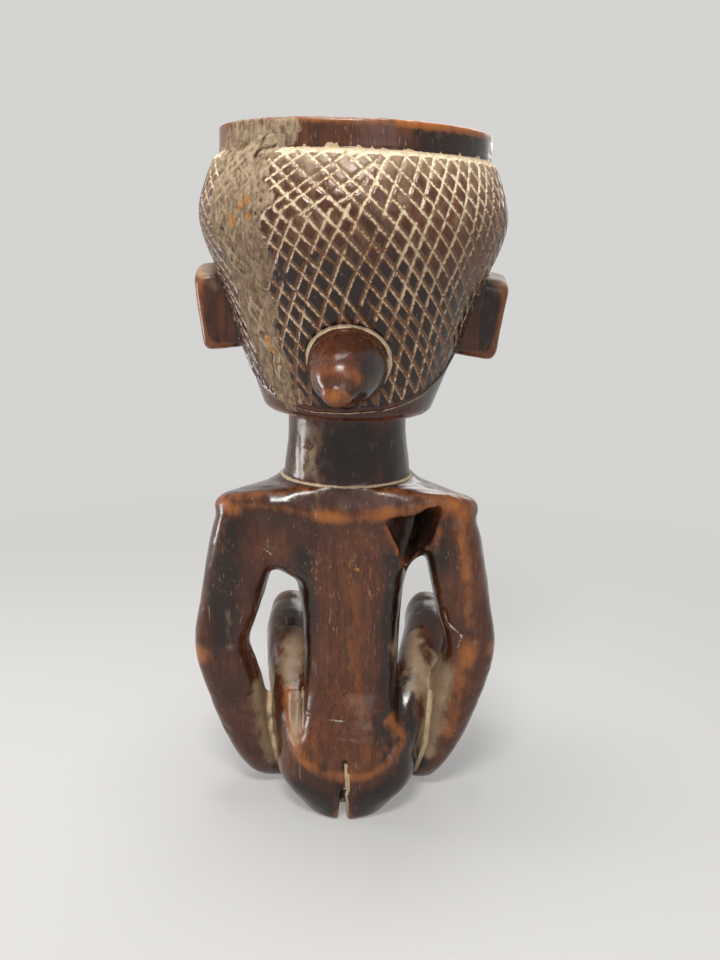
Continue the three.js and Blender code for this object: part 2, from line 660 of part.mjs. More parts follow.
function addPiece(name, solid, colour, roughness) {
  const material = new THREE.MeshStandardMaterial({ color: colour, roughness, metalness: 0 });
  const mesh = new THREE.Mesh(geometryOf(solid), material);
  mesh.name = name;
  cup.add(mesh);
}

addPiece("carved_cup", block, 0x4a1f14, 0.32);
addPiece("bowl_crack_filler", bowlFiller, 0x6e5a49, 0.85);
addPiece("neck_crack_filler", neckFiller, 0x8a7762, 0.85);

export default cup;
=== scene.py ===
"""A drinking cup carved from one block of dark wood: a squatting figure whose hollow head is the bowl.

Metres, +Z up. The figure's back faces -Y and its face +Y. The forms are laid out in millimetres, as the
carver would measure them, and the finished meshes are scaled to metres.
"""

import math

import bmesh
import bpy
import numpy as np
from mathutils import Matrix, Vector


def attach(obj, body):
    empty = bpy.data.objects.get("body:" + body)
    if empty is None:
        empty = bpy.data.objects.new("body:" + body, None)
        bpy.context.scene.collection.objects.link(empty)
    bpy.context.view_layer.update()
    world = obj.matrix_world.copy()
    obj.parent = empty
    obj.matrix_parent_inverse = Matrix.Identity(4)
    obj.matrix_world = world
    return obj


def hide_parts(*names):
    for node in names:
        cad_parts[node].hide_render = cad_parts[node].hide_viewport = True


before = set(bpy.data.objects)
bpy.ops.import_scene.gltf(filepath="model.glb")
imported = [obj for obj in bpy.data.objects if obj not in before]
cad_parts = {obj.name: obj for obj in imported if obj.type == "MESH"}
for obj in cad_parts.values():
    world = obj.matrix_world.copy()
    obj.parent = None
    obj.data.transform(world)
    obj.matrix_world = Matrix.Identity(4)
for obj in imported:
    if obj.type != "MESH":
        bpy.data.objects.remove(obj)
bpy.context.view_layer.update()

bl_info = {
    "name": "Carved drinking cup",
    "version": (1, 0, 0),
    "blender": (4, 5, 0),
    "location": "3D View > Sidebar > Carved cup",
    "description": "Builds a wooden cup carved as a squatting figure, with its old repairs and a studio",
    "category": "Object",
}

MM = 0.001
RIGHT = np.array([1.0, 0.0, 0.0])
UP = np.array([0.0, 0.0, 1.0])
SIDES = (-1, 1)

# Heights of the whole figure
BODY_HEIGHT = 95.0
NECK_LENGTH = 28.0
HEAD_HEIGHT = 76.0
HEAD_LEAN = math.radians(1.2)
SKULL_BASE = BODY_HEIGHT + NECK_LENGTH
RIM_TOP = SKULL_BASE + HEAD_HEIGHT

# Bowl and rim
RIM_RADIUS = 37.1
RIM_BAND = 6.5
RIM_EDGE = 1.2
RIM_WALL = 4.2
BULGE_RADIUS = 42.3
BULGE_HEIGHT = 54.0
SKULL_BASE_RADIUS = 24.2
BOWL_WALL = 7.0
BOWL_DEPTH = 58.0
RIM_FOOT = RIM_TOP - RIM_BAND
RIM_GROOVE = RIM_TOP - 7.1

# Neck and knob
NECK_RADIUS = 17.2
NECK_FOOT_RADIUS = 18.8
KNOB_RADIUS = 10.8
KNOB_TIP_RADIUS = 4.0
KNOB_REACH = 13.5
KNOB_HEIGHT = 15.5
KNOB_DROP = 5.0
KNOB_TURN = 2.4
KNOB_ROOT = np.array([-0.4, -31.0, 138.5])
KNOB_AXIS = np.array([-1.9, -13.7, -5.0])

# Ears and face
EAR_TOP = 40.0
EAR_BOTTOM = 15.5
EAR_DEPTH = 14.0
EAR_ROOT = 14.5
EAR_FORWARD = 3.0
EAR_REACH_TOP = 45.0
EAR_REACH_BOTTOM = 41.6
EAR_EDGE = 2.0
EAR_RIM = 3.0
EAR_HOLLOW = 2.2
CHIN_DROP = 4.0
FACE_HALF_WIDTH = 26.0
FACE_FRONT = 36.0
NOSE_REACH = 7.0
EYE_SPACING = 11.5

# Trunk
SHOULDER_HALF_WIDTH = 38.6
SHOULDER_DEPTH = 19.5
WAIST_HALF_WIDTH = 14.6
WAIST_SHIFT = 1.8
TRUNK_DEPTH = 13.0
HIP_HALF_WIDTH = 24.5
SEAT_BACK = 24.5
UNDERSIDE_INSET = 8.0
CLEFT_WIDTH = 3.2
CLEFT_DEPTH = 4.0
CLEFT_HEIGHT = 27.0
CUTTER_LENGTH = 40.0

# Arms
ARM_THICKNESS = 15.6
ARM_EXTRA = 1.6
HOLLOW_DEPTH = 10.0
HOLLOW_TURN = math.radians(28)
HOLLOW_HINGE = 20.0
HOLLOW_OUTLINE = ((12.5, 95.6), (28.2, 98.4), (22.6, 76.0))
ELBOW_SPREAD = 37.7
ELBOW_HEIGHT = 51.5
WRIST_THICKNESS = 11.5

# Legs
KNEE_SPREAD = 22.9
KNEE_SHIFT = 3.9
KNEE_HEIGHT = 45.0
KNEE_FORWARD = 30.0
KNEE_THICKNESS = 15.0
SHIN_THICKNESS = 11.5
FOOT_LENGTH = 31.0
FOOT_WIDTH = 15.0
FOOT_HEIGHT = 8.0


class CupCarvingSizes(bpy.types.PropertyGroup):
    """Sizes of the carving on the block."""

    grain_of_mesh: bpy.props.FloatProperty(
        name="Grain of the mesh", description="Edge length at which the forms are joined into one block",
        default=0.00076, unit="LENGTH", precision=5)
    groove_half_width: bpy.props.FloatProperty(
        name="Groove half width", description="Half the width of a cut of the hair's lattice at the surface",
        default=0.00066, unit="LENGTH", precision=5)
    groove_depth: bpy.props.FloatProperty(
        name="Groove depth", description="Depth of the lattice's cuts",
        default=0.0006, unit="LENGTH", precision=5)
    lip_height: bpy.props.FloatProperty(
        name="Lip height", description="How far the lip round the hair stands out",
        default=0.0006, unit="LENGTH", precision=5)
    tool_mark_depth: bpy.props.FloatProperty(
        name="Tool mark depth", description="Depth of the soft facets left by the knife",
        default=0.00016, unit="LENGTH", precision=5)
    filler_height: bpy.props.FloatProperty(
        name="Filler height", description="How far the repair filler stands out of the wood",
        default=0.0006, unit="LENGTH", precision=5)


class CupColours(bpy.types.PropertyGroup):
    """Colours of the wood, its wear and what has settled in its cuts."""

    heartwood: bpy.props.FloatVectorProperty(
        name="Heartwood", description="The polished red-brown wood",
        subtype="COLOR", size=3, default=(0.135, 0.038, 0.0145))
    # dark wood: wood blackened by smoke and handling, also laid on as painted shade in hollows, under things
    # and on shaded sides
    dark_wood: bpy.props.FloatVectorProperty(
        name="Dark wood", description="Wood blackened by smoke and handling",
        subtype="COLOR", size=3, default=(0.019, 0.0078, 0.005))
    worn_wood: bpy.props.FloatVectorProperty(
        name="Worn wood", description="Orange wood where edges are rubbed bare",
        subtype="COLOR", size=3, default=(0.38, 0.125, 0.024))
    residue: bpy.props.FloatVectorProperty(
        name="Residue", description="Pale dust and clay in the cuts",
        subtype="COLOR", size=3, default=(0.60, 0.47, 0.31))
    crust: bpy.props.FloatVectorProperty(
        name="Crust", description="The old grey-brown repair filler",
        subtype="COLOR", size=3, default=(0.235, 0.145, 0.082))
    # cream high on the head: cleaner residue, also painted lighter as light from above
    upper_residue_and_light: bpy.props.FloatVectorProperty(
        name="Bright residue", description="The cleaner residue in the cuts under the rim",
        subtype="COLOR", size=3, default=(0.90, 0.76, 0.54))
    cut_wood: bpy.props.FloatVectorProperty(
        name="Cut wood", description="Brown floor of the lattice's cuts",
        subtype="COLOR", size=3, default=(0.17, 0.075, 0.032))
    raw_wood: bpy.props.FloatVectorProperty(
        name="Raw wood", description="Amber wood laid bare in small spots",
        subtype="COLOR", size=3, default=(0.52, 0.28, 0.07))


class StudioSizes(bpy.types.PropertyGroup):
    """The studio's floor, background and lamps."""

    floor_colour: bpy.props.FloatVectorProperty(
        name="Floor", description="Colour of the floor and backdrop",
        subtype="COLOR", size=3, default=(0.66, 0.655, 0.64))
    key_power: bpy.props.FloatProperty(
        name="Key light", description="Power of the soft light above", default=2.2, unit="POWER")
    side_power: bpy.props.FloatProperty(
        name="Side light", description="Power of the strip light at the left", default=0.6, unit="POWER")


# Numbers on curves and in space


def squared(value, square):
    """A sine or cosine bent so that a round section turns square: 2 leaves it round."""
    return np.sign(value) * np.abs(value) ** (2 / square)


def along(rows, t, held=False):
    """Rows of numbers read at t, from 0 to 1, on a smooth curve through all of them."""
    rows = np.asarray(rows, float)
    first = rows[0] if held else 2 * rows[0] - rows[1]
    last = rows[-1] if held else 2 * rows[-1] - rows[-2]
    padded = np.vstack([first, rows, last])
    place = np.clip(np.atleast_1d(t), 0, 1) * (len(rows) - 1)
    i = np.minimum(place.astype(int), len(rows) - 2)
    w = (place - i)[:, None]
    a, b, c, d = (padded[i + k] for k in range(4))
    return 0.5 * (2 * b + (c - a) * w + (2 * a - 5 * b + 4 * c - d) * w**2 + (3 * b - a - 3 * c + d) * w**3)


def ramp(low, high, value):
    """0 below low, 1 above high and a smooth step between them."""
    t = np.clip((value - low) / (high - low), 0, 1)
    return t * t * (3 - 2 * t)


# Large odd numbers that scatter the cells of the noise
CELL_STEPS = (374761393, 668265263, 1440662683)
SCATTER = 1274126177


def bumpy(points, size, seed=0):
    """Smooth noise from -1 to 1 in space, with one cell per size."""
    q = points / size + 17.31 * seed + 100
    cell = np.floor(q).astype(np.int64)
    f = q - cell
    f = f * f * (3 - 2 * f)
    total = np.zeros(len(points))
    for dx in (0, 1):
        for dy in (0, 1):
            for dz in (0, 1):
                h = (cell[:, 0] + dx) * CELL_STEPS[0]
                h += (cell[:, 1] + dy) * CELL_STEPS[1]
                h += (cell[:, 2] + dz) * CELL_STEPS[2]
                h = (h ^ (h >> 13)) * SCATTER
                h = (h ^ (h >> 16)) & 0xFFFF
                weight = (f[:, 0] if dx else 1 - f[:, 0]) * (f[:, 1] if dy else 1 - f[:, 1])
                total += weight * (f[:, 2] if dz else 1 - f[:, 2]) * (h / 32767.5 - 1)
    return total


def rough(points, size, seed=0, layers=3):
    """Smooth noise in layers, each half as large and half as strong as the one before."""
    return sum(bumpy(points, size / 2**k, seed + 7 * k) / 2**k for k in range(layers))


def wander(index, seed):
    """A steady random number from -1 to 1 for each whole number."""
    return np.modf(np.sin(index * 12.9898 + seed * 78.233) * 43758.5453)[0]


# Closed forms


def mesh_object(name, points, faces):
    mesh = bpy.data.meshes.new(name)
    mesh.from_pydata(np.asarray(points).tolist(), [], faces)
    mesh.update()
    made = bpy.data.objects.new(name, mesh)
    bpy.context.scene.collection.objects.link(made)
    return made


def volume(points, faces):
    total = 0.0
    for face in faces:
        a = points[face[0]]
        for b, c in zip(face[1:], face[2:]):
            total += np.dot(a, np.cross(points[b], points[c]))
    return total / 6


def skin(rings, start, end):
    """A closed form over a row of rings, from one end point to the other, with its faces turned out."""
    rings = np.asarray(rings, float)
    count, sides = rings.shape[:2]
    points = np.vstack([rings.reshape(-1, 3), start, end])
    i = np.arange(sides)
    j = (i + 1) % sides
    low = (np.arange(count - 1) * sides)[:, None]
    quads = np.stack([low + i, low + j, low + sides + j, low + sides + i], -1).reshape(-1, 4).tolist()
    last = (count - 1) * sides
    fans = [[count * sides, b, a] for a, b in zip(i.tolist(), j.tolist())]
    fans += [[count * sides + 1, last + a, last + b] for a, b in zip(i.tolist(), j.tolist())]
    faces = quads + fans
    if volume(points, faces) < 0:
        faces = [face[::-1] for face in faces]
    return points, faces


def limb(sections, start_dome=0, end_dome=0, across=RIGHT, steps=8, sides=40):
    """A form lofted through sections (middle, half width, half depth, squareness), rounded off by domes."""
    middles = [s[0] for s in sections]
    sizes = [(s[1], s[2], s[3] if len(s) > 3 else 2) for s in sections]
    angle = 2 * np.pi * np.arange(sides) / sides

    def tangent(t):
        step = along(middles, min(t + 1e-4, 1)) - along(middles, max(t - 1e-4, 0))
        return step[0] / np.linalg.norm(step)

    def ring(middle, direction, size, scale):
        side = across - np.dot(across, direction) * direction
        side = side / np.linalg.norm(side)
        through = np.cross(direction, side)
        wide = squared(np.cos(angle), size[2]) * size[0] * scale
        deep = squared(np.sin(angle), size[2]) * size[1] * scale
        return middle + wide[:, None] * side + deep[:, None] * through

    rings = []
    domes = [np.pi / 2 * k / 6 for k in range(1, 6)]
    first, last = along(middles, 0)[0], along(middles, 1)[0]
    start, end = first, last
    if start_dome:
        direction, size = tangent(0), along(sizes, 0)[0]
        start = first - direction * start_dome
        for a in reversed(domes):
            rings.append(ring(first - direction * start_dome * math.sin(a), direction, size, math.cos(a)))
    count = (len(sections) - 1) * steps
    for k in range(count + 1):
        t = k / count
        rings.append(ring(along(middles, t)[0], tangent(t), along(sizes, t)[0], 1))
    if end_dome:
        direction, size = tangent(1), along(sizes, 1)[0]
        end = last + direction * end_dome
        for a in domes:
            rings.append(ring(last + direction * end_dome * math.sin(a), direction, size, math.cos(a)))
    return skin(rings, start, end)


def turned(profile, sides=176):
    """A form of revolution from (radius, height) pairs that start and end on the axis."""
    angle = 2 * np.pi * np.arange(sides) / sides
    rings = [
        np.stack([r * np.cos(angle), r * np.sin(angle), np.full(sides, z)], -1) for r, z in profile[1:-1]
    ]
    return skin(rings, (0, 0, profile[0][1]), (0, 0, profile[-1][1]))


def moved(form, matrix):
    points, faces = form
    m = np.array(matrix)
    return points @ m[:3, :3].T + m[:3, 3], faces


# The head's lean about the skull's foot, and the way back
LEAN = (
    Matrix.Translation((0, 0, SKULL_BASE))
    @ Matrix.Rotation(HEAD_LEAN, 4, "Y")
    @ Matrix.Translation((0, 0, -SKULL_BASE))
)
UPRIGHT = LEAN.inverted()


# The bowl


def bowl_outside(count=70):
    """Radii and heights of the hair's round wall, from the skull's foot to the rim band."""
    taper = BULGE_RADIUS - SKULL_BASE_RADIUS
    foot = HEAD_HEIGHT - RIM_BAND
    above = foot - BULGE_HEIGHT
    pairs = [
        (SKULL_BASE_RADIUS, SKULL_BASE + 1.5),
        (SKULL_BASE_RADIUS + 0.26 * taper, SKULL_BASE + 0.27 * BULGE_HEIGHT),
        (SKULL_BASE_RADIUS + 0.61 * taper, SKULL_BASE + 0.62 * BULGE_HEIGHT),
        (SKULL_BASE_RADIUS + 0.92 * taper, SKULL_BASE + 0.86 * BULGE_HEIGHT),
        (BULGE_RADIUS, SKULL_BASE + BULGE_HEIGHT + 0.05 * above),
        (BULGE_RADIUS - 0.4 * (BULGE_RADIUS - RIM_RADIUS), SKULL_BASE + BULGE_HEIGHT + 0.6 * above),
        (RIM_RADIUS + 0.3, SKULL_BASE + foot),
    ]
    return [tuple(p) for p in along(pairs, np.linspace(0, 1, count), held=True)]


def bowl_inside(count=50):
    """Radii and heights of the hollow, from its floor to the mouth."""
    mouth = RIM_RADIUS - RIM_WALL
    floor = RIM_TOP - BOWL_DEPTH
    inside = BULGE_RADIUS - BOWL_WALL
    pairs = [
        (0.35 * inside, floor + 1.2),
        (0.66 * inside, floor + 0.15 * BOWL_DEPTH),
        (0.88 * inside, floor + 0.38 * BOWL_DEPTH),
        (inside, floor + 0.68 * BOWL_DEPTH),
        (mouth, RIM_TOP - RIM_EDGE),
    ]
    return [tuple(p) for p in along(pairs, np.linspace(0, 1, count), held=True)]


WALL = [(SKULL_BASE_RADIUS - 2, SKULL_BASE), *bowl_outside(), (RIM_RADIUS, RIM_FOOT + 0.8)]


def outside_radius(z):
    """Radius of the bowl's outside at a height."""
    radii, heights = zip(*WALL, (RIM_RADIUS, RIM_TOP))
    return np.interp(z, heights, radii)


def bowl_shell():
    corner = [
        (RIM_RADIUS - RIM_EDGE + RIM_EDGE * math.cos(a), RIM_TOP - RIM_EDGE + RIM_EDGE * math.sin(a))
        for a in np.linspace(0, math.pi / 2, 6)
    ]
    outer = [(0, SKULL_BASE), *WALL, *corner]
    inner = [(RIM_RADIUS - RIM_WALL + RIM_EDGE, RIM_TOP), *reversed(bowl_inside()), (0, RIM_TOP - BOWL_DEPTH)]
    return turned(outer + inner)


def hollow_cutter():
    mouth, past = RIM_RADIUS - RIM_WALL, RIM_TOP + 4
    return turned([(0, RIM_TOP - BOWL_DEPTH), *bowl_inside(), (mouth, past), (0, past)], 96)


# Head, trunk and limbs


def neck():
    reach = NECK_LENGTH + 6
    foot = NECK_FOOT_RADIUS
    return limb(
        [
            ((0, 0, BODY_HEIGHT), foot - 1, foot - 1),
            ((0, 0, BODY_HEIGHT + 0.3 * reach), foot - 0.3, foot - 0.6),
            ((0, 0, BODY_HEIGHT + 0.65 * reach), NECK_RADIUS, NECK_RADIUS),
            ((0, 0, BODY_HEIGHT + reach), NECK_RADIUS, NECK_RADIUS),
        ],
        sides=96,
    )


def knob():
    root = SKULL_BASE_RADIUS
    hair = root + 7
    axis = SKULL_BASE + KNOB_HEIGHT
    tip = KNOB_TIP_RADIUS
    half_way = 0.5 * (KNOB_RADIUS + tip)
    return limb(
        [
            ((0, -root, axis + 1), KNOB_RADIUS + 0.8, KNOB_RADIUS + 1),
            ((-0.2 * KNOB_TURN, -hair, axis), KNOB_RADIUS - 0.6, KNOB_RADIUS - 0.6),
            (
                (-0.7 * KNOB_TURN, -hair - 0.55 * KNOB_REACH, axis - 0.45 * KNOB_DROP),
                half_way + 0.2,
                half_way - 0.2,
            ),
            ((-KNOB_TURN, -hair - KNOB_REACH + 2.4, axis - KNOB_DROP), tip, tip - 0.6),
        ],
        end_dome=2.9,
        sides=56,
    )


def ear_outline(inset, corner_points=7):
    """The ear seen from the side: upright in front and behind, with a top that falls to the back."""
    front = EAR_DEPTH / 2 - inset
    top = EAR_TOP - inset
    foot = EAR_BOTTOM + inset
    corners = [(front, foot), (front, top), (-front, top - 0.2 * EAR_DEPTH), (-front, foot)]
    corners = [np.array(c) for c in corners]
    rounding = 0.42 * (EAR_DEPTH / 2 - 0.5 * inset)
    points = []
    for k, here in enumerate(corners):
        before, after = corners[k - 1], corners[(k + 1) % 4]
        a = here + (before - here) * min(rounding / np.linalg.norm(before - here), 0.48)
        b = here + (after - here) * min(rounding / np.linalg.norm(after - here), 0.48)
        for w in np.linspace(0, 1, corner_points):
            points.append((1 - w) ** 2 * a + 2 * w * (1 - w) * here + w**2 * b)
    return np.array(points)


def ear(side):
    """A thick slab with a rounded edge and a hollow in its outer face."""
    lean = math.atan2(EAR_REACH_TOP - EAR_REACH_BOTTOM, EAR_TOP - EAR_BOTTOM)
    steps = [(-EAR_ROOT, 0), (-7, 0), (-EAR_EDGE, 0)]
    for a in np.linspace(0.25, math.pi / 2, 5):
        steps.append((-EAR_EDGE + EAR_EDGE * math.sin(a), EAR_EDGE * (1 - math.cos(a))))
    hollow = ((0, 0.45), (-0.25, 0.7), (-0.7, 1.05), (-1, 1.35))
    steps += [(depth * EAR_HOLLOW, EAR_EDGE + share * EAR_RIM) for depth, share in hollow]
    rings = []
    for reach, inset in steps:
        flat = ear_outline(inset)
        y, z, x = flat[:, 0], flat[:, 1] - EAR_BOTTOM, np.full(len(flat), float(reach))
        turned_x = x * math.cos(lean) + z * math.sin(lean)
        turned_z = -x * math.sin(lean) + z * math.cos(lean)
        out = side * (turned_x + EAR_REACH_BOTTOM)
        rings.append(np.stack([out, y + EAR_FORWARD, turned_z + EAR_BOTTOM + SKULL_BASE], -1))
    return skin(rings, rings[0].mean(0), rings[-1].mean(0))


CHIN = SKULL_BASE - CHIN_DROP
THIRD = EAR_BOTTOM + CHIN_DROP + 1.5


def level(thirds):
    """A height on the face, in thirds from the chin to the hairline."""
    return CHIN + thirds * THIRD


def face_mass():
    width = FACE_HALF_WIDTH
    return limb(
        [
            ((0, FACE_FRONT - 18, level(0.05)), 0.46 * width, 11),
            ((0, FACE_FRONT - 18, level(0.35)), 0.68 * width, 16.5),
            ((0, FACE_FRONT - 20, level(0.85)), 0.88 * width, 19.6),
            ((0, FACE_FRONT - 22, level(1.45)), width, 22),
            ((0, FACE_FRONT - 24, level(2)), 1.12 * width, 25.6),
            ((0, FACE_FRONT - 28, level(2.7)), 1.25 * width, 32),
        ],
        start_dome=3,
        sides=72,
    )


def face_features():
    front = FACE_FRONT
    nose = limb(
        [
            ((0, front - 1.5, level(2.05)), 3, 3),
            ((0, front + 0.3 * NOSE_REACH, level(1.65)), 2.6, 3.2),
            ((0, front + NOSE_REACH - 4.4, level(1.25)), 4.2, 4.2),
            ((0, front + NOSE_REACH - 5, level(1.07)), 5.4, 4),
        ],
        end_dome=1.6,
        sides=28,
    )
    made = [nose]
    for side in SIDES:
        made.append(
            limb(
                [
                    ((side * 1.5, front + 0.6, level(1.98)), 1.6, 1.8),
                    ((side * 12, front - 0.8, level(2.12)), 1.7, 1.8),
                    ((side * 22, front - 9, level(1.95)), 1.2, 1.4),
                ],
                across=UP,
                start_dome=1,
                end_dome=1,
                sides=20,
            )
        )
        turn = Matrix.Rotation(-side * 0.3, 4, "Z")
        ball = [((x, 0, 0), 2.6, 2.9) for x in (-2.2, 2.2)]
        eye = limb(ball, across=UP, start_dome=4, end_dome=4, sides=24)
        place = Matrix.Translation((side * EYE_SPACING, front - 3.2, level(1.72)))
        made.append(moved(eye, place @ turn))
    for thirds, tall in ((0.66, 1.5), (0.53, 1.7)):
        made.append(
            limb(
                [
                    ((-8, front - 3.6, level(thirds)), 0.9, 1.4),
                    ((0, front - 0.2, level(thirds)), tall, 2.2),
                    ((8, front - 3.6, level(thirds)), 0.9, 1.4),
                ],
                across=UP,
                start_dome=1,
                end_dome=1,
                sides=20,
            )
        )
    return made


def trunk():
    """From the seat over the waist to the shoulders' yoke and the foot of the neck."""
    back = -TRUNK_DEPTH - 3

    def between(low, high, share):
        return low + (high - low) * share

    def flare(share):
        return between(WAIST_HALF_WIDTH, SHOULDER_HALF_WIDTH, share)

    def hip(share):
        return between(WAIST_HALF_WIDTH, HIP_HALF_WIDTH, share)

    def seat(share):
        return between(-SEAT_BACK, back, share)

    # share of the body's height, half width, front, back, share of the waist's shift, squareness
    rows = [
        (0.0, 0.38 * HIP_HALF_WIDTH, 12, -SEAT_BACK + UNDERSIDE_INSET, 0.3, 2.2),
        (0.045, 0.6 * HIP_HALF_WIDTH, 13, -SEAT_BACK + 0.45 * UNDERSIDE_INSET, 0.35, 2.2),
        (0.13, 0.87 * HIP_HALF_WIDTH, 13, seat(0.06), 0.45, 2.4),
        (0.21, 0.86 * HIP_HALF_WIDTH, 12, seat(0), 0.6, 2.6),
        (0.27, hip(0.3), 11, seat(0.15), 0.75, 2.7),
        (0.33, hip(0.06), 10, seat(0.45), 0.85, 2.8),
        (0.42, WAIST_HALF_WIDTH - 0.2, 10, seat(0.85), 0.95, 3),
        (0.56, WAIST_HALF_WIDTH, TRUNK_DEPTH - 3, back, 1, 3),
        (0.7, flare(0.03), TRUNK_DEPTH - 2, back - 0.5, 0.95, 3),
        (0.79, flare(0.11), TRUNK_DEPTH - 1, back - 1, 0.8, 3),
        (0.83, flare(0.3), TRUNK_DEPTH - 1, back - 1.3, 0.6, 3),
        (0.86, flare(0.62), TRUNK_DEPTH - 0.5, back - 1.6, 0.4, 3),
        (0.9, flare(0.88), TRUNK_DEPTH, back - 2.2, 0.2, 3.2),
        (0.96, SHOULDER_HALF_WIDTH - 1, SHOULDER_DEPTH - 4.5, -SHOULDER_DEPTH + 0.3, 0, 3.8),
        (1.0, SHOULDER_HALF_WIDTH - 0.2, SHOULDER_DEPTH - 2.5, -SHOULDER_DEPTH - 0.5, 0, 3.8),
        (1.035, 0.84 * SHOULDER_HALF_WIDTH, SHOULDER_DEPTH - 1.5, -SHOULDER_DEPTH + 0.3, 0, 2.8),
        (1.07, 0.58 * SHOULDER_HALF_WIDTH, NECK_FOOT_RADIUS - 0.2, -NECK_FOOT_RADIUS + 0.2, 0, 2.3),
        (1.1, NECK_FOOT_RADIUS - 0.2, NECK_FOOT_RADIUS - 0.8, -NECK_FOOT_RADIUS + 0.8, 0, 2),
    ]
    return limb(
        [
            ((WAIST_SHIFT * shift, (front + rear) / 2, h * BODY_HEIGHT), wide, (front - rear) / 2, square)
            for h, wide, front, rear, shift, square in rows
        ],
        sides=96,
    )


def cleft_cutter():
    """A narrow wedge in the middle of the seat, open at the back and below."""
    tilt = math.atan2(UNDERSIDE_INSET + CLEFT_DEPTH, CLEFT_HEIGHT)
    half = CLEFT_WIDTH / 2
    wedge = np.array([(0, 0, CLEFT_HEIGHT), (-half, 0, -6), (half, 0, -6)])
    rings = [wedge, wedge + (0, -CUTTER_LENGTH, 0)]
    floor = Matrix.Translation((0, -SEAT_BACK + UNDERSIDE_INSET + CLEFT_DEPTH, 0))
    turn = floor @ Matrix.Rotation(tilt, 4, "X")
    return moved(skin(rings, rings[0].mean(0), rings[1].mean(0)), turn)


def armpit_cutter():
    """A three-sided hollow under the yoke's edge, deepest beside the arm."""
    rings = []
    for depth in (0, CUTTER_LENGTH):
        rings.append(np.array([(x - HOLLOW_HINGE, -depth, z) for x, z in HOLLOW_OUTLINE], float))
    floor = Matrix.Translation((14.4, -SHOULDER_DEPTH + HOLLOW_DEPTH, 0))
    turn = floor @ Matrix.Rotation(HOLLOW_TURN, 4, "Z")
    return moved(skin(rings, rings[0].mean(0), rings[1].mean(0)), turn)


def arm(side):
    """From the shoulder over the elbow to the hand, which lies beside the foot."""
    half = ARM_THICKNESS / 2
    wrist = WRIST_THICKNESS / 2
    shoulder = SHOULDER_HALF_WIDTH - half
    rise = BODY_HEIGHT - ELBOW_HEIGHT
    out = ELBOW_SPREAD - shoulder
    # x, y and z, half width, half depth, squareness, share of the extra thickness, share of the knees' shift
    rows = [
        (shoulder - 1.6, -4, ELBOW_HEIGHT + rise, half - 0.7, half + 5, 3.4, 1.25),
        (shoulder - 0.4, -4.5, ELBOW_HEIGHT + 0.86 * rise, half + 0.4, half + 6.0, 3.4, 1.35),
        (shoulder + 0.22 * out, -5, ELBOW_HEIGHT + 0.66 * rise, half + 0.6, half + 4.8, 3.4, 1.65),
        (shoulder + 0.62 * out, -5.2, ELBOW_HEIGHT + 0.34 * rise, half + 0.4, half + 2, 3.2, 1.05),
        (ELBOW_SPREAD, -5.4, ELBOW_HEIGHT, half - 0.2, half + 0.8, 3, 0.45),
        (ELBOW_SPREAD - 3.4, -4.2, 0.71 * ELBOW_HEIGHT, half - 0.2, half, 2.8, 0.85),
        (ELBOW_SPREAD - 6.6, -1.5, 0.43 * ELBOW_HEIGHT, 0.4 * half + 0.6 * wrist, half - 0.8, 2.6, 0.95),
        (ELBOW_SPREAD - 11.4, 1.5, 0.2 * ELBOW_HEIGHT, wrist, wrist + 0.3, 2.5, 0.55),
        (ELBOW_SPREAD - 16, 6.5, 0.105 * ELBOW_HEIGHT, wrist - 0.4, wrist - 0.8, 2.5, 0, 0.4),
        (ELBOW_SPREAD - 18.4, 15, 0.13 * ELBOW_HEIGHT, wrist + 0.2, wrist - 1.4, 2.6, 0, 0.7),
        (ELBOW_SPREAD - 20, 23, 0.19 * ELBOW_HEIGHT, wrist - 0.2, wrist - 2.6, 2.6, 0, 0.9),
    ]
    sections = []
    for x, y, z, wide, deep, square, share, *with_leg in rows:
        extra = 0.5 * ARM_EXTRA * share if side < 0 else 0
        sections.append(((side * (x - extra) + KNEE_SHIFT * sum(with_leg), y, z), wide + extra, deep, square))
    return limb(sections, end_dome=2.5)


def knee_middle(side):
    return side * KNEE_SPREAD + KNEE_SHIFT


def thigh(side):
    knee = KNEE_THICKNESS / 2
    middle = knee_middle(side)
    hip = side * 16 + 0.4 * KNEE_SHIFT
    return limb(
        [
            ((side * 11 + 0.2 * KNEE_SHIFT, -13, 0.33 * KNEE_HEIGHT), 7.2, 10.5, 2.4),
            ((hip, -5, 0.5 * KNEE_HEIGHT), 7.0, 11.5, 2.5),
            ((0.55 * hip + 0.45 * middle, 5, 0.7 * KNEE_HEIGHT), 7.4, 12.5, 2.5),
            ((middle - side * 0.6, 0.6 * KNEE_FORWARD, 0.92 * KNEE_HEIGHT), knee + 0.2, 12, 2.4),
            ((middle, KNEE_FORWARD - 2, KNEE_HEIGHT + 1.5), knee - 0.5, 9.2, 2.2),
        ],
        start_dome=3,
        end_dome=8.5,
    )


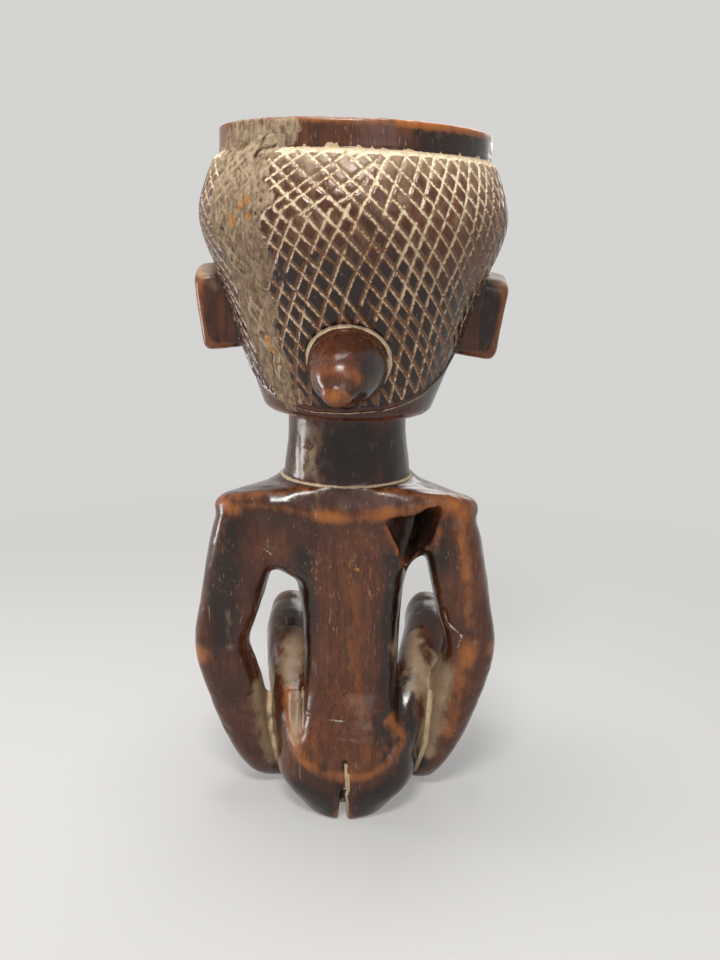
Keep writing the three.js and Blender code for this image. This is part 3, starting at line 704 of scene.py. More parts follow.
def shin_and_foot(side):
    knee = KNEE_THICKNESS / 2
    shin = SHIN_THICKNESS / 2
    ankle = KNEE_FORWARD - 6
    heel = ankle - 10
    middle = knee_middle(side)
    lower = limb(
        [
            ((middle, KNEE_FORWARD - 1, KNEE_HEIGHT), knee - 0.5, knee + 0.3),
            ((middle - side, KNEE_FORWARD - 0.8, 0.78 * KNEE_HEIGHT), shin + 0.6, shin + 1),
            ((middle - side * 2.4, KNEE_FORWARD - 2.6, 0.5 * KNEE_HEIGHT), shin + 0.5, shin + 1.8),
            ((middle - side * 5.2, ankle, 0.1 * KNEE_HEIGHT), shin - 0.8, shin - 0.2),
        ],
        start_dome=7,
    )
    wide, tall = FOOT_WIDTH, FOOT_HEIGHT
    foot = limb(
        [
            ((middle - side * 6.2, heel, 0.5 * tall), 0.38 * wide, 0.62 * tall, 2.2),
            ((middle - side * 4.6, heel + 0.5 * FOOT_LENGTH, 0.46 * tall), 0.42 * wide, 0.62 * tall, 2.4),
            ((middle - side * 2.6, heel + FOOT_LENGTH - 3, 0.3 * tall), 0.5 * wide, 0.42 * tall, 3),
        ],
        start_dome=2,
        end_dome=3,
    )
    return [lower, foot]


# Joining and refining the mesh


def cut_away(form, cutters):
    """The form less each cutter, by exact booleans."""
    body = mesh_object("form", *form)
    others = []
    for cutter in cutters:
        other = mesh_object("cutter", *cutter)
        others.append(other)
        step = body.modifiers.new("Cut", "BOOLEAN")
        step.operation = "DIFFERENCE"
        step.solver = "EXACT"
        step.object = other
    view = bpy.context.evaluated_depsgraph_get()
    result = body.evaluated_get(view).to_mesh()
    points = np.array([v.co[:] for v in result.vertices])
    faces = [list(p.vertices) for p in result.polygons]
    body.evaluated_get(view).to_mesh_clear()
    for item in [body, *others]:
        bpy.data.objects.remove(item)
    if not faces:
        raise RuntimeError("a cut left nothing of its form")
    return points, faces


def joined(forms, edge):
    """One closed skin round all the forms, as quads of about the given edge length. Points in millimetres."""
    points, faces, start = [], [], 0
    for p, f in forms:
        low = p.copy()
        low[:, 2] = np.maximum(low[:, 2], 0)
        points.append(low)
        faces += [[v + start for v in face] for face in f]
        start += len(p)
    body = mesh_object("forms", np.vstack(points), faces)
    step = body.modifiers.new("Join", "REMESH")
    step.mode = "VOXEL"
    step.voxel_size = edge
    step.adaptivity = 0
    view = bpy.context.evaluated_depsgraph_get()
    mesh = bpy.data.meshes.new_from_object(body.evaluated_get(view))
    bpy.data.objects.remove(body)
    return mesh


def points_of(mesh):
    flat = np.empty(len(mesh.vertices) * 3, np.float32)
    mesh.vertices.foreach_get("co", flat)
    return flat.reshape(-1, 3).astype(float)


def edges_of(mesh):
    flat = np.empty(len(mesh.edges) * 2, np.int32)
    mesh.edges.foreach_get("vertices", flat)
    return flat.reshape(-1, 2)


def normals_of(mesh):
    flat = np.empty(len(mesh.vertices) * 3, np.float32)
    mesh.vertex_normals.foreach_get("vector", flat)
    return flat.reshape(-1, 3).astype(float)


def put_points(mesh, points):
    mesh.vertices.foreach_set("co", points.astype(np.float32).ravel())
    mesh.update()


class Neighbours:
    """Averages over the neighbours of each vertex."""

    def __init__(self, mesh):
        edges = edges_of(mesh)
        self.a, self.b = edges[:, 0], edges[:, 1]
        self.count = len(mesh.vertices)
        self.degree = np.bincount(self.a, minlength=self.count) + np.bincount(self.b, minlength=self.count)

    def mean(self, values):
        columns = values.reshape(self.count, -1)
        out = np.empty_like(columns)
        for k in range(columns.shape[1]):
            total = np.bincount(self.a, columns[self.b, k], self.count)
            total += np.bincount(self.b, columns[self.a, k], self.count)
            out[:, k] = total / self.degree
        return out.reshape(values.shape)

    def relaxed(self, values, rounds, step=0.5):
        """Values drawn towards their neighbours' mean, by one step or by a step for each vertex."""
        for _ in range(rounds):
            values = values + step * (self.mean(values) - values)
        return values

    def without_shrinking(self, points, rounds):
        """Points smoothed and then pushed back, so that the form keeps its size."""
        for _ in range(rounds):
            points = points + 0.5 * (self.mean(points) - points)
            points = points - 0.52 * (self.mean(points) - points)
        return points


def refined(mesh, wanted):
    """Splits the faces whose corners are all wanted into four."""
    bm = bmesh.new()
    bm.from_mesh(mesh)
    bm.verts.ensure_lookup_table()
    chosen = [e for e in bm.edges if wanted[e.verts[0].index] and wanted[e.verts[1].index]]
    bmesh.ops.subdivide_edges(bm, edges=chosen, cuts=1, use_grid_fill=True)
    bm.to_mesh(mesh)
    bm.free()
    mesh.update()


# Where things lie on the head

# Radius and middle height on which places in the hair are laid out flat, and an arc's length there
HAIR_RADIUS = 38
HAIR_MIDDLE = 160
MM_PER_DEGREE = 0.66


def head_place(points):
    """Angle from the middle of the back (positive towards +X), height, radius and upright points."""
    upright = moved((points, None), UPRIGHT)[0]
    angle = np.arctan2(upright[:, 0], -upright[:, 1])
    return angle, upright[:, 2], np.hypot(upright[:, 0], upright[:, 1]), upright


# Degrees from the middle of the back, and the height of the hair's edge there
HAIRLINE = (
    (-180, 181), (-155, 180), (-130, 177), (-110, 172), (-99, 167), (-91, 156), (-84, 143), (-72, 134.5),
    (-58, 130), (-38, 127.4), (-20, 126.4), (0, 126.6), (25, 127.6), (37, 128.8), (51, 131), (66, 135.7),
    (76, 141), (83, 149), (91, 160), (99, 167.5), (110, 172), (130, 177), (155, 180), (180, 181),
)


def hairline(angle):
    """Height of the hair's edge at an angle round the head, and its slope per millimetre."""
    degrees = np.array([p[0] for p in HAIRLINE], float)
    heights = np.array([p[1] for p in HAIRLINE], float)
    fine = np.linspace(-180, 180, 721)
    curve = np.interp(fine, degrees, heights)
    reach, mean_radius = 8, 33
    window = np.hanning(2 * reach + 1)
    curve = np.convolve(np.pad(curve, reach, mode="wrap"), window / window.sum(), mode="valid")
    slope = np.gradient(curve, np.radians(fine) * mean_radius)
    return np.interp(np.degrees(angle), fine, curve), np.interp(np.degrees(angle), fine, slope)


def hand_cut(phase, seed, arc, height):
    """Signed distance, in spacings, from the nearest of a family's hand-cut lines, and that line's depth."""
    number = np.round(phase)
    near = np.full(len(phase), 9.0)
    depth = np.zeros(len(phase))
    for step in (-1, 0, 1):
        line = number + step
        sway = 0.1 * np.sin(height / (8 + 3 * wander(line, seed + 1)) + 5 * wander(line, seed + 2))
        gap = phase - line - 0.14 * wander(line, seed) - sway
        stop = np.sin(height / 5.3 + arc / 8.0 + 9 * wander(line, seed + 4))
        broken = 0.85 * ramp(0.9, 0.99, stop) * (wander(line, seed + 5) > 0)
        here = (0.9 + 0.25 * wander(line, seed + 3)) * (1 - broken)
        closer = np.abs(gap) < np.abs(near)
        near = np.where(closer, gap, near)
        depth = np.where(closer, here, depth)
    return near, np.clip(depth, 0, 1.2)


def line_family(arc, rise, bend, terms):
    """The count of a family's lines up to a place on the bowl, and the lines per millimetre there."""
    across, up, *bent = terms
    twist, climb, spread, fan = (bend * share for share in bent)
    x, z = arc / 10, rise / 10
    phase = across * x + up * z + twist * x * z + climb * z**2 + spread * x**2 * z + fan * x * z**2
    slope_x = across + twist * z + 2 * spread * x * z + fan * z**2
    slope_z = up + twist * x + 2 * climb * z + spread * x**2 + 2 * fan * x * z
    return phase, np.hypot(slope_x, slope_z) / 10


# Lines per centimetre across and up the bowl, then how the lines twist, climb, spread and fan out over it
FALLING_CUTS = (1.97, 2.0, -0.013, 0.027, 0.018, 0.008)
RISING_CUTS = (2.22, -0.75, 0.155, -0.13, -0.024, 0.022)
SLANTED_CUTS = (2.0, -2.8, 0, 0, 0, 0)


def lattice(angle, height, radius):
    """Signed distances in millimetres from the cuts of the two crossing families, each with its depth."""
    bend = 1 - ramp(math.radians(60), math.radians(115), np.abs(angle))
    arc = angle * (HAIR_RADIUS + 0.55 * bend * (radius - HAIR_RADIUS))
    rise = height - HAIR_MIDDLE
    cuts = []
    for terms, seed in ((FALLING_CUTS, 1.7), (RISING_CUTS, 4.1), (SLANTED_CUTS, 6.3)):
        phase, slope = line_family(arc, rise, bend, terms)
        near, depth = hand_cut(phase, seed, arc, height)
        cuts.append((near / slope, depth))
    falling, rising, slanted = cuts

    # high on the left, the rising cuts give way to steeper ones
    left_of = 7 - 0.65 * (RIM_GROOVE - 0.4 - height) - arc
    above = height - 176.8 + 1.2 * np.sin(arc / 3.0)
    upper_left = (left_of > 0) & (above > 0)
    rising = [np.where(upper_left, one, other) for one, other in zip(slanted, rising)]
    return *falling, *rising


def line_gap(x, z, line):
    """Distance in a plane from a line of points."""
    best = np.full(len(x), np.inf)
    for (x0, z0), (x1, z1) in zip(line, line[1:]):
        dx, dz = x1 - x0, z1 - z0
        t = np.clip(((x - x0) * dx + (z - z0) * dz) / (dx * dx + dz * dz), 0, 1)
        best = np.minimum(best, np.hypot(x - x0 - t * dx, z - z0 - t * dz))
    return best


def strokes(points, table):
    """Strength of lines drawn on the back, which fades over a line's reach and ends at its furthest y."""
    total = np.zeros(len(points))
    for reach, strength, furthest, *line in table:
        flat = np.array(line, float)
        low, high = flat.min(0) - 3 * reach, flat.max(0) + 3 * reach
        x, z = points[:, 0], points[:, 2]
        here = (x > low[0]) & (x < high[0]) & (z > low[1]) & (z < high[1]) & (points[:, 1] < furthest)
        gap = line_gap(x[here], z[here], line)
        total[here] = np.maximum(total[here], strength * np.exp(-((gap / reach) ** 2)))
    return total


def spots(points, places):
    """Strength of round places, which fades over a place's reach."""
    total = np.zeros(len(points))
    for x, y, z, wide, tall, strength in places:
        off = (points - (x, y, z)) / (wide, 1.6 * wide, tall)
        total = np.maximum(total, strength * np.exp(-1.2 * (off**2).sum(1)))
    return total


# The crust's edges on the head: height, then the degrees of its two sides from the middle of the back
CRUST_SIDES = (
    (127, -44, -33), (133, -55, -31), (139, -56, -30), (145, -60, -35), (152, -61, -35),
    (160, -58, -35), (166, -58, -36), (172, -61, -37), (176, -61, -31), (180, -60, -31),
    (187, -60, -33), (190, -64, -34), (193.5, -66, -25), (199, -60, -25),
)
# Marks on the head: degrees from the middle of the back, height, reach in millimetres
WORM_HOLES = (
    (-21, 190.5, 0.6), (-33, 189, 0.5), (-43, 189, 0.5), (-52, 172.5, 0.6), (-32, 179, 0.5), (-34, 176, 0.5),
)
AMBER_SPOTS = (
    (-38, 179.5, 1.1), (-41, 177.8, 1.0), (-37, 175.5, 0.8), (-45, 174.5, 1.5), (-43, 144.5, 1.2),
    (-41, 142, 1.3),
)
# Cracks on the head: half width, then degrees and heights along the crack
HEAD_CRACKS = (
    (0.35, (-35, 199.5), (-35.5, 195), (-37, 192), (-38.5, 189.5)),
    (0.3, (-42, 142), (-42.5, 139), (-44, 135)),
    (0.25, (-29, 196), (-26, 194.5)),
)


def crusted(angle, height):
    """1 inside the crust's outline on the head, fading over its ragged sides."""
    rows = np.array(CRUST_SIDES, float)
    degrees = np.degrees(angle)
    left = np.interp(height, rows[:, 0], rows[:, 1])
    right = np.interp(height, rows[:, 0], rows[:, 2])
    foot = 1.3 * (height - 126) * (height < 128)
    ragged = 5 * rough(np.stack([HAIR_RADIUS * angle, 0 * angle, height], -1), 4.5, 71, 3)
    from_left = ramp(-2.5, 3.5, degrees - left + foot)
    from_right = ramp(-9, 3, right - degrees + foot + ragged)
    return np.minimum(from_left, from_right)


def head_marks(angle, height):
    """Worm holes, cracks and amber spots on the head, each from 0 to 1."""
    arc = np.degrees(angle) * MM_PER_DEGREE
    holes, cracks, amber = (np.zeros(len(angle)) for _ in range(3))
    for degrees, z, reach in WORM_HOLES:
        d = np.hypot(arc - MM_PER_DEGREE * degrees, height - z)
        holes = np.maximum(holes, 1 - ramp(0.5 * reach, 1.2 * reach, d))
    for degrees, z, reach in AMBER_SPOTS:
        d = np.hypot(arc - MM_PER_DEGREE * degrees, (height - z) * 0.8)
        amber = np.maximum(amber, np.exp(-((d / reach) ** 2)))
    for half_width, *line in HEAD_CRACKS:
        gap = line_gap(arc, height, [(MM_PER_DEGREE * degrees, z) for degrees, z in line])
        cracks = np.maximum(cracks, 1 - ramp(0.5 * half_width, 1.6 * half_width, gap))
    return holes, cracks, amber


# Lines on the back, by x and z in millimetres
U_RIDGE = ((-20, 46), (-18, 41), (-17, 36.5), (-16.5, 30), (-15, 25), (-11, 20.5), (-5.5, 18), (0.5, 17))
RIGHT_CURL = ((14, 32), (18, 26), (15, 21.5), (8, 17.5), (0.5, 17))
RIGHT_RECESS = ((12, 32), (12.5, 26.5), (13.5, 22.5))
LEFT_CREASE = ((-25.5, 85.5), (-23.5, 85), (-21, 83))
CRESCENT = ((-17.5, 82.5), (-16, 80.5), (-15, 77.5))
CHIP = ((1, 78), (3.5, 79.5), (5.5, 79.5))
CHIPPED_EDGE = ((29, 65.5), (30, 61.5), (33, 59), (34.5, 58), (33.5, 54))
VALLEY_LINE = ((-14, 52.5), (-13, 39.5), (-12.5, 29))
LEFT_FOREARM_GROOVE = ((-23.5, 36.5), (-23.5, 29), (-23, 21.5), (-21, 10))
RIGHT_FOREARM_GROOVE = ((26.5, 36), (26, 29), (25.5, 18.5), (22.5, 6))
NECK_CRACK = ((-14, 116.5), (-13.5, 111), (-13, 105.5))
UPPER_ARC = ((-11, 33.5), (-6.5, 34), (0.5, 33.5))
LOWER_ARC = ((-7.5, 28.5), (-3.5, 29), (4, 28.5))
SCRATCH = ((1, 31), (1, 23.5))
# Strokes: reach, strength, furthest y, then the line's x and z, in millimetres
WORN_STROKES = (
    (2.2, 1.05, -12, (-7.5, 96), (0.5, 95), (8.5, 96), (13, 97)),
    (1.3, 0.5, -12, (-34.5, 98), (-31.5, 97.5), (-23.5, 98.5), (-16, 97.5), (-7.5, 96)),
    (2.4, 1.0, -8, (-35, 97.5), (-33.5, 97), (-31.5, 96.5)),
    (3.2, 1.05, -8, (28, 98), (31.5, 98), (35, 96.5)),
    (1.8, 0.9, -6, (32.5, 95.5), (33.5, 87.5), (35, 78.5), (36, 69.5), (36.5, 61.5)),
    (3.4, 0.85, 0, (37.5, 55), (35, 45.5), (33, 35), (31.5, 24)),
    (2.3, 0.95, -6, *U_RIDGE),
    (5.0, 0.46, -6, (-12, 26), (-5, 21.5), (5, 20.5), (12, 24)),
    (4.0, 0.42, -6, (3, 62), (3, 50), (4, 36)),
    (3.2, 0.4, -6, (2, 86), (2.5, 62)),
    (2.0, 0.85, -6, *RIGHT_CURL),
    (1.6, 1.0, 14, (-46, 160), (-44.5, 152), (-43, 142)),
    (1.6, 0.9, 14, (46.5, 160), (45.5, 152), (44, 142)),
)
PALE_STROKES = (
    (0.45, 0.9, -8, *VALLEY_LINE),
    (0.7, 0.9, 4, *LEFT_FOREARM_GROOVE),
    (0.8, 0.9, 4, *RIGHT_FOREARM_GROOVE),
    (0.7, 0.55, -6, *CHIPPED_EDGE),
    (0.7, 0.55, -12, *LEFT_CREASE),
    (0.5, 0.62, -8, *NECK_CRACK),
    (0.55, 1.0, -16, (1, 20.5), (1, 13)),
)
# Pale film along these lines: dust, and in part a painted sheen on the thighs and the neck
DUST_AND_SHEEN_STROKES = (
    (3.0, 1.1, 4, (-25.5, 38), (-25, 29), (-23.5, 20.5), (-21, 11)),
    (3.2, 1.1, 4, (30, 44.5), (28.5, 37.5), (27.5, 29), (26, 15.5)),
    (1.2, 0.45, -8, (-34, 64), (-34, 53.5)),
    (4.2, 1.0, 10, (-22, 56.5), (-15, 49.5), (-17, 42)),
    (4.2, 1.0, 10, (18, 53), (24, 39)),
    (2.6, 0.75, -8, (-16, 44), (-15, 34), (-14.5, 27)),
    (4.4, 0.5, -6, (-11, 119), (-10.5, 107.5)),
)
# Dark strokes: dark wood, and painted shade under the seat, in the recess by the right hip and along the
# cleft's edge
BLACK_AND_SHADED_STROKES = (
    (4.0, 1.0, -4, (17, 36), (20, 22), (22, 9)),
    # painted shade under the seat, on both sides
    (3.4, 1.0, -8, (-12.5, 9), (-7, 6.5)),
    (3.8, 1.0, -8, (7.5, 8), (15.5, 12)),
    # painted shade in the recess by the right hip
    (2.4, 1.0, -10, *RIGHT_RECESS),
    # painted shadow along the cleft's edge
    (0.7, 1.2, -14, (0.5, 21), (-1, 13), (-0.5, 6)),
    (4.0, 0.5, -4, (-33, 90), (-35, 70), (-35, 56)),
    (2.2, 0.5, -4, (-12, 84), (-11, 68), (-11.5, 44)),
    (2.8, 0.6, -4, (14.5, 84), (12.5, 64), (13.5, 42)),
    (0.35, 1.0, -38, (-3.5, 135), (-3.5, 131)),
    (0.35, 1.0, -38, (-1, 135), (-1, 131.5)),
    (0.35, 1.0, -38, (1.5, 134.5), (1.5, 132)),
)
# Where the skin is raised or sunk along strokes, the strength is in millimetres
RAISED_STROKES = (
    (1.4, 0.5, -8, *U_RIDGE),
    (1.4, 0.45, -8, *RIGHT_CURL),
    (3.4, 1.5, -15, (-21, 97), (-8, 96), (8, 96), (18, 97)),
)
SUNKEN_STROKES = (
    (0.8, 1.2, -17, (0.5, 21.5), (1, 17), (0.5, 12)),
    (1.5, 0.8, -10, (-14.5, 46), (-14, 36), (-13.5, 28)),
    (1.9, 1.1, -12, *RIGHT_RECESS),
    (0.45, 0.22, -14, *UPPER_ARC),
    (0.45, 0.2, -14, *LOWER_ARC),
    (0.4, 0.25, -14, *SCRATCH),
    (0.8, 0.5, -12, *LEFT_CREASE),
    (0.7, 0.45, -10, *CRESCENT),
    (0.7, 0.5, -12, *CHIP),
    (0.7, 0.4, -6, *CHIPPED_EDGE),
    (0.8, 0.4, 4, *LEFT_FOREARM_GROOVE),
    (0.8, 0.4, 4, *RIGHT_FOREARM_GROOVE),
    (0.7, 0.15, -8, *NECK_CRACK),
)
# Strokes along which the joined mesh is rubbed soft
SOFT_STROKES = (
    (4.0, 1.0, -5, (13, 96), (17, 88), (20.5, 79)),
    (4.5, 1.0, 6, (-24, 77), (-19, 79), (-16, 74)),
    (3.0, 1.0, 6, (20.5, 80), (17.5, 74), (17, 68)),
    (3.0, 0.8, 6, (30, 62), (30, 52)),
    (3.0, 0.8, 6, (-29, 62), (-28.5, 50)),
)

# Places on the wood: x, y, z, reach across, reach in height, strength, in millimetres
RUBBED_PLACES = (
    (-3, -46, 133.2, 3.4, 2.6, 1.1),  # the knob's tip
    (-43, -10, 50, 4, 4, 1.15),  # the left elbow
    (44.5, -10, 53, 3.5, 4, 1.0),  # the right elbow
    (17, -16, 24, 2.4, 4, 0.6),  # the ridge over the right hip
)
# Places painted dark: the neck, and painted shade in the armpit's hollow, under the right ear and on the
# knob's right side
BLACK_AND_SHADED_PLACES = (
    (2, -17, 112, 9, 9, 1.0),  # the middle of the neck
    (13, -12, 112, 5, 8, 0.9),  # the neck's right side
    # painted shadow in the hollow of the right armpit
    (24, -12, 86, 6, 9, 1.0),  # the right armpit
    # painted shade on the knob's right side, away from the light
    (8, -38, 137, 5.5, 7, 1.0),  # the knob's right side
    # painted shadow under the right ear
    (30, -6, 134, 9, 6, 0.9),  # under the right ear
)
RED_PLACES = (
    (0, -16, 65, 12, 30, 1.0),  # the plane of the back
    (0, -22, 28, 14, 10, 1.0),  # the seat
    (-42, 0, 152, 6, 9, 1.0),  # the left ear
    (45, 0, 152, 4, 9, 1.0),  # the right ear's outer half
    (20, -28, 196, 22, 4, 0.8),  # the rim
    (34, -10, 40, 8, 20, 0.8),  # the right forearm
    (34, -12, 75, 8, 18, 0.9),  # the back of the right arm
    (-5, -38, 140, 6, 7, 1.0),  # the knob's left side
)
DUSTY_PLACES = (
    (-39, -2, 158, 2.2, 3, 0.8),  # the left ear's root
)
FLECKED_PLACES = (
    (0, -16, 72, 16, 20, 1.0),  # the plane of the back
    (34, -12, 75, 8, 20, 1.0),  # the back of the right arm
    (-33, -12, 75, 7, 20, 0.8),  # the back of the left arm
    (0, -20, 30, 12, 12, 0.5),  # the seat
)
RAW_PLACES = ((3.4, -16.5, 79, 1.6, 0.8, 0.9),)  # a chip in the back


# Shader building

# Stored values end at 1, so distances from cuts are stored as this share of their millimetres
STORED_GAP = 0.5


class Nodes:
    """Short names for making the nodes of one tree."""

    def __init__(self, tree):
        self.tree = tree

    def add(self, kind, **settings):
        node = self.tree.nodes.new(kind)
        for key, value in settings.items():
            setattr(node, key, value)
        return node

    def link(self, source, target):
        self.tree.links.new(source, target)

    def put(self, value, target):
        """Links a socket, or sets a number or a colour, to suit the target."""
        if isinstance(value, bpy.types.NodeSocket):
            self.link(value, target)
        elif hasattr(target.default_value, "__len__") and not hasattr(value, "__len__"):
            target.default_value = [value] * len(target.default_value)
        elif hasattr(value, "__len__") and len(value) == 3 and len(target.default_value) == 4:
            target.default_value = (*value, 1)
        else:
            target.default_value = value

    def math(self, operation, a, b=0.0, clamp=False):
        node = self.add("ShaderNodeMath", operation=operation, use_clamp=clamp)
        self.put(a, node.inputs[0])
        self.put(b, node.inputs[1])
        return node.outputs[0]

    def times(self, a, b):
        return self.math("MULTIPLY", a, b)

    def most(self, a, b):
        return self.math("MAXIMUM", a, b)

    def ramp(self, low, high, value):
        node = self.add("ShaderNodeMapRange", interpolation_type="SMOOTHSTEP", clamp=True)
        self.put(value, node.inputs["Value"])
        self.put(low, node.inputs["From Min"])
        self.put(high, node.inputs["From Max"])
        return node.outputs["Result"]

    def mix(self, share, a, b):
        """Colours from a to b."""
        node = self.add("ShaderNodeMix", data_type="RGBA", clamp_factor=True)
        self.put(share, node.inputs["Factor"])
        self.put(a, node.inputs["A"])
        self.put(b, node.inputs["B"])
        return node.outputs["Result"]

    def blend(self, share, a, b):
        """Numbers from a to b."""
        node = self.add("ShaderNodeMix", data_type="FLOAT", clamp_factor=True)
        self.put(share, node.inputs[0])
        self.put(a, node.inputs[2])
        self.put(b, node.inputs[3])
        return node.outputs[0]

    def place(self, scale=(1, 1, 1), turn=(0, 0, 0)):
        """Object coordinates in millimetres, stretched and turned."""
        coordinates = self.add("ShaderNodeTexCoord")
        mapping = self.add("ShaderNodeMapping")
        mapping.inputs["Scale"].default_value = [1000 * s for s in scale]
        mapping.inputs["Rotation"].default_value = turn
        self.link(coordinates.outputs["Object"], mapping.inputs["Vector"])
        return mapping.outputs["Vector"]

    def noise(self, vector, scale, detail=3, roughness=0.5, distortion=0):
        node = self.add("ShaderNodeTexNoise")
        self.link(vector, node.inputs["Vector"])
        node.inputs["Scale"].default_value = scale
        node.inputs["Detail"].default_value = detail
        node.inputs["Roughness"].default_value = roughness
        node.inputs["Distortion"].default_value = distortion
        return node.outputs["Fac"]

    def named(self, name):
        return self.add("ShaderNodeAttribute", attribute_name=name).outputs["Fac"]

    def group(self, name, **values):
        node = self.add("ShaderNodeGroup", node_tree=bpy.data.node_groups[name])
        for key, value in values.items():
            self.put(value, node.inputs[key.replace("_", " ")])
        return node


def new_group(name, inputs, outputs):
    """A node group with sockets given as {name: (kind, default)} and {name: kind}."""
    tree = bpy.data.node_groups.new(name, "ShaderNodeTree")
    for label, (kind, value) in inputs.items():
        socket = tree.interface.new_socket(label, in_out="INPUT", socket_type="NodeSocket" + kind)
        if value is not None:
            socket.default_value = value
    for label, kind in outputs.items():
        tree.interface.new_socket(label, in_out="OUTPUT", socket_type="NodeSocket" + kind)
    n = Nodes(tree)
    source = n.add("NodeGroupInput")
    target = n.add("NodeGroupOutput")
    return n, source.outputs, target.inputs


def wood_grain_group():
    """Upright grain: long streaks, short pale flecks and a slow change from dark to red."""
    n, inputs, outputs = new_group(
        "Wood grain",
        {"Streaks": ("Float", 1.0)},
        {"Streak": "Float", "Fleck": "Float", "Mottle": "Float", "Height": "Float"},
    )
    fine = n.noise(n.place((1, 1, 0.045)), 2.6, 4, 0.6, 0.3)
    broad = n.noise(n.place((1, 1, 0.1)), 0.5, 3, 0.55, 0.6)
    streak = n.math("ADD", n.times(fine, 0.55), n.times(broad, 0.45))
    n.link(n.times(streak, inputs["Streaks"]), outputs["Streak"])
    flecks = n.noise(n.place((1, 1, 0.16)), 1.9, 2, 0.5)
    gaps = n.noise(n.place((1, 1, 1)), 0.09, 2, 0.5)
    n.link(n.times(n.ramp(0.62, 0.7, flecks), n.ramp(0.4, 0.58, gaps)), outputs["Fleck"])
    n.link(n.noise(n.place((1, 1, 0.6)), 0.075, 3, 0.55, 0.4), outputs["Mottle"])
    pores = n.noise(n.place((1, 1, 0.06)), 5.5, 2, 0.5)
    n.link(n.math("ADD", n.times(fine, 0.6), n.times(pores, 0.4)), outputs["Height"])


def scratches_group():
    """Fine straight scratches in three directions, seen where the polish is rubbed."""
    n, inputs, outputs = new_group("Fine scratches", {"Amount": ("Float", 0.5)}, {"Mask": "Float"})
    total = None
    for turn, scale, seed in ((0.5, 1.3, 0), (-0.9, 1.1, 3), (0.1, 1.6, 7)):
        lines = n.noise(n.place((1, 1, 0.03), (0, turn, 0.4 * turn)), scale, 1, 0.4)
        breaks = n.noise(n.place((1, 1, 1), (turn, 0, seed)), 0.16, 2, 0.5)
        one = n.times(n.ramp(0.735, 0.76, lines), n.ramp(0.5, 0.6, breaks))
        total = one if total is None else n.most(total, one)
    n.link(n.times(total, inputs["Amount"]), outputs["Mask"])


def settled_residue_group():
    """Residue that fills up to a ragged edge: 1 where the given depth is over its limit."""
    n, inputs, outputs = new_group(
        "Settled residue",
        {"Depth": ("Float", 0.0), "Limit": ("Float", 0.5), "Raggedness": ("Float", 0.5)},
        {"Mask": "Float", "Height": "Float"},
    )
    grit = n.noise(n.place(), 1.5, 4, 0.65)
    patches = n.noise(n.place(), 0.33, 3, 0.5)
    uneven = n.math("ADD", n.times(grit, 0.5), n.times(patches, 0.5))
    shift = n.times(n.math("SUBTRACT", uneven, 0.5), n.times(inputs["Raggedness"], 2.0))
    over = n.math("SUBTRACT", n.math("ADD", inputs["Depth"], shift), inputs["Limit"])
    n.link(n.ramp(-0.07, 0.1, over), outputs["Mask"])
    n.link(grit, outputs["Height"])


def worn_edge_group():
    """Where handling has rubbed the wood bare: along edges and in named places, with a broken border."""
    n, inputs, outputs = new_group(
        "Worn edges", {"Edge": ("Float", 0.0), "Places": ("Float", 0.0)}, {"Mask": "Float", "Core": "Float"}
    )
    rub = n.noise(n.place((1, 1, 0.45)), 0.45, 5, 0.68)
    edge = n.times(inputs["Edge"], 0.62)
    both = n.math("ADD", n.most(edge, inputs["Places"]), n.times(n.math("SUBTRACT", rub, 0.5), 1.2))
    n.link(n.ramp(0.12, 0.8, both), outputs["Mask"])
    n.link(n.ramp(0.6, 1.25, both), outputs["Core"])


def old_crust_group():
    """A rough dried crust: streaks that run down to the right, lumps, grit and pits."""
    n, inputs, outputs = new_group(
        "Old crust",
        {"Amount": ("Float", 1.0)},
        {"Mask": "Float", "Light": "Float", "Pits": "Float", "Height": "Float"},
    )
    streaks = n.noise(n.place((1, 1, 0.3), (0, 0.75, 0)), 1.1, 4, 0.65)
    lumps = n.noise(n.place(), 0.42, 5, 0.62)
    grit = n.noise(n.place(), 2.2, 4, 0.7)
    light = n.math("ADD", n.times(streaks, 0.55), n.times(lumps, 0.45))
    broken = n.math("ADD", inputs["Amount"], n.times(n.math("SUBTRACT", light, 0.5), 1.6))
    n.link(n.ramp(0.42, 0.62, broken), outputs["Mask"])
    n.link(n.ramp(0.38, 0.62, light), outputs["Light"])
    hollows = n.ramp(0.41, 0.31, n.noise(n.place((1, 1, 0.5), (0, 0.75, 0)), 0.6, 4, 0.65))
    n.link(n.most(n.ramp(0.42, 0.32, grit), n.times(hollows, 0.8)), outputs["Pits"])
    bumps = n.math("ADD", n.times(light, 0.8), n.times(grit, 0.45))
    n.link(n.math("SUBTRACT", bumps, n.times(hollows, 0.5)), outputs["Height"])


def principled(name):
    """A new material with its node maker and its Principled shader."""
    material = bpy.data.materials.new(name)
    material.use_nodes = True
    tree = material.node_tree
    tree.nodes.clear()
    n = Nodes(tree)
    shader = n.add("ShaderNodeBsdfPrincipled")
    output = n.add("ShaderNodeOutputMaterial")
    n.link(shader.outputs[0], output.inputs["Surface"])
    return material, n, shader


def crust_colour(n, crust, colours):
    """The crust's grey-brown, from dark in its pits to a tan of dust on its lumps."""
    dull = n.mix(0.5, n.mix(0.3, colours.dark_wood, colours.heartwood), colours.crust)
    colour = n.mix(crust.outputs["Light"], dull, n.mix(0.36, colours.crust, colours.residue))
    return n.mix(n.times(crust.outputs["Pits"], 0.8), colour, colours.dark_wood)


def raw_colour(n, colour, shade, tone, colours):
    """Amber wood in the spots marked raw, with how much of it shows."""
    shown = n.ramp(0.4, 0.62, n.math("ADD", n.named("raw"), n.times(n.math("SUBTRACT", shade, 0.5), 0.7)))
    amber = n.mix(n.ramp(0.4, 0.6, tone), colours.worn_wood, colours.raw_wood)
    return n.mix(shown, colour, amber), shown


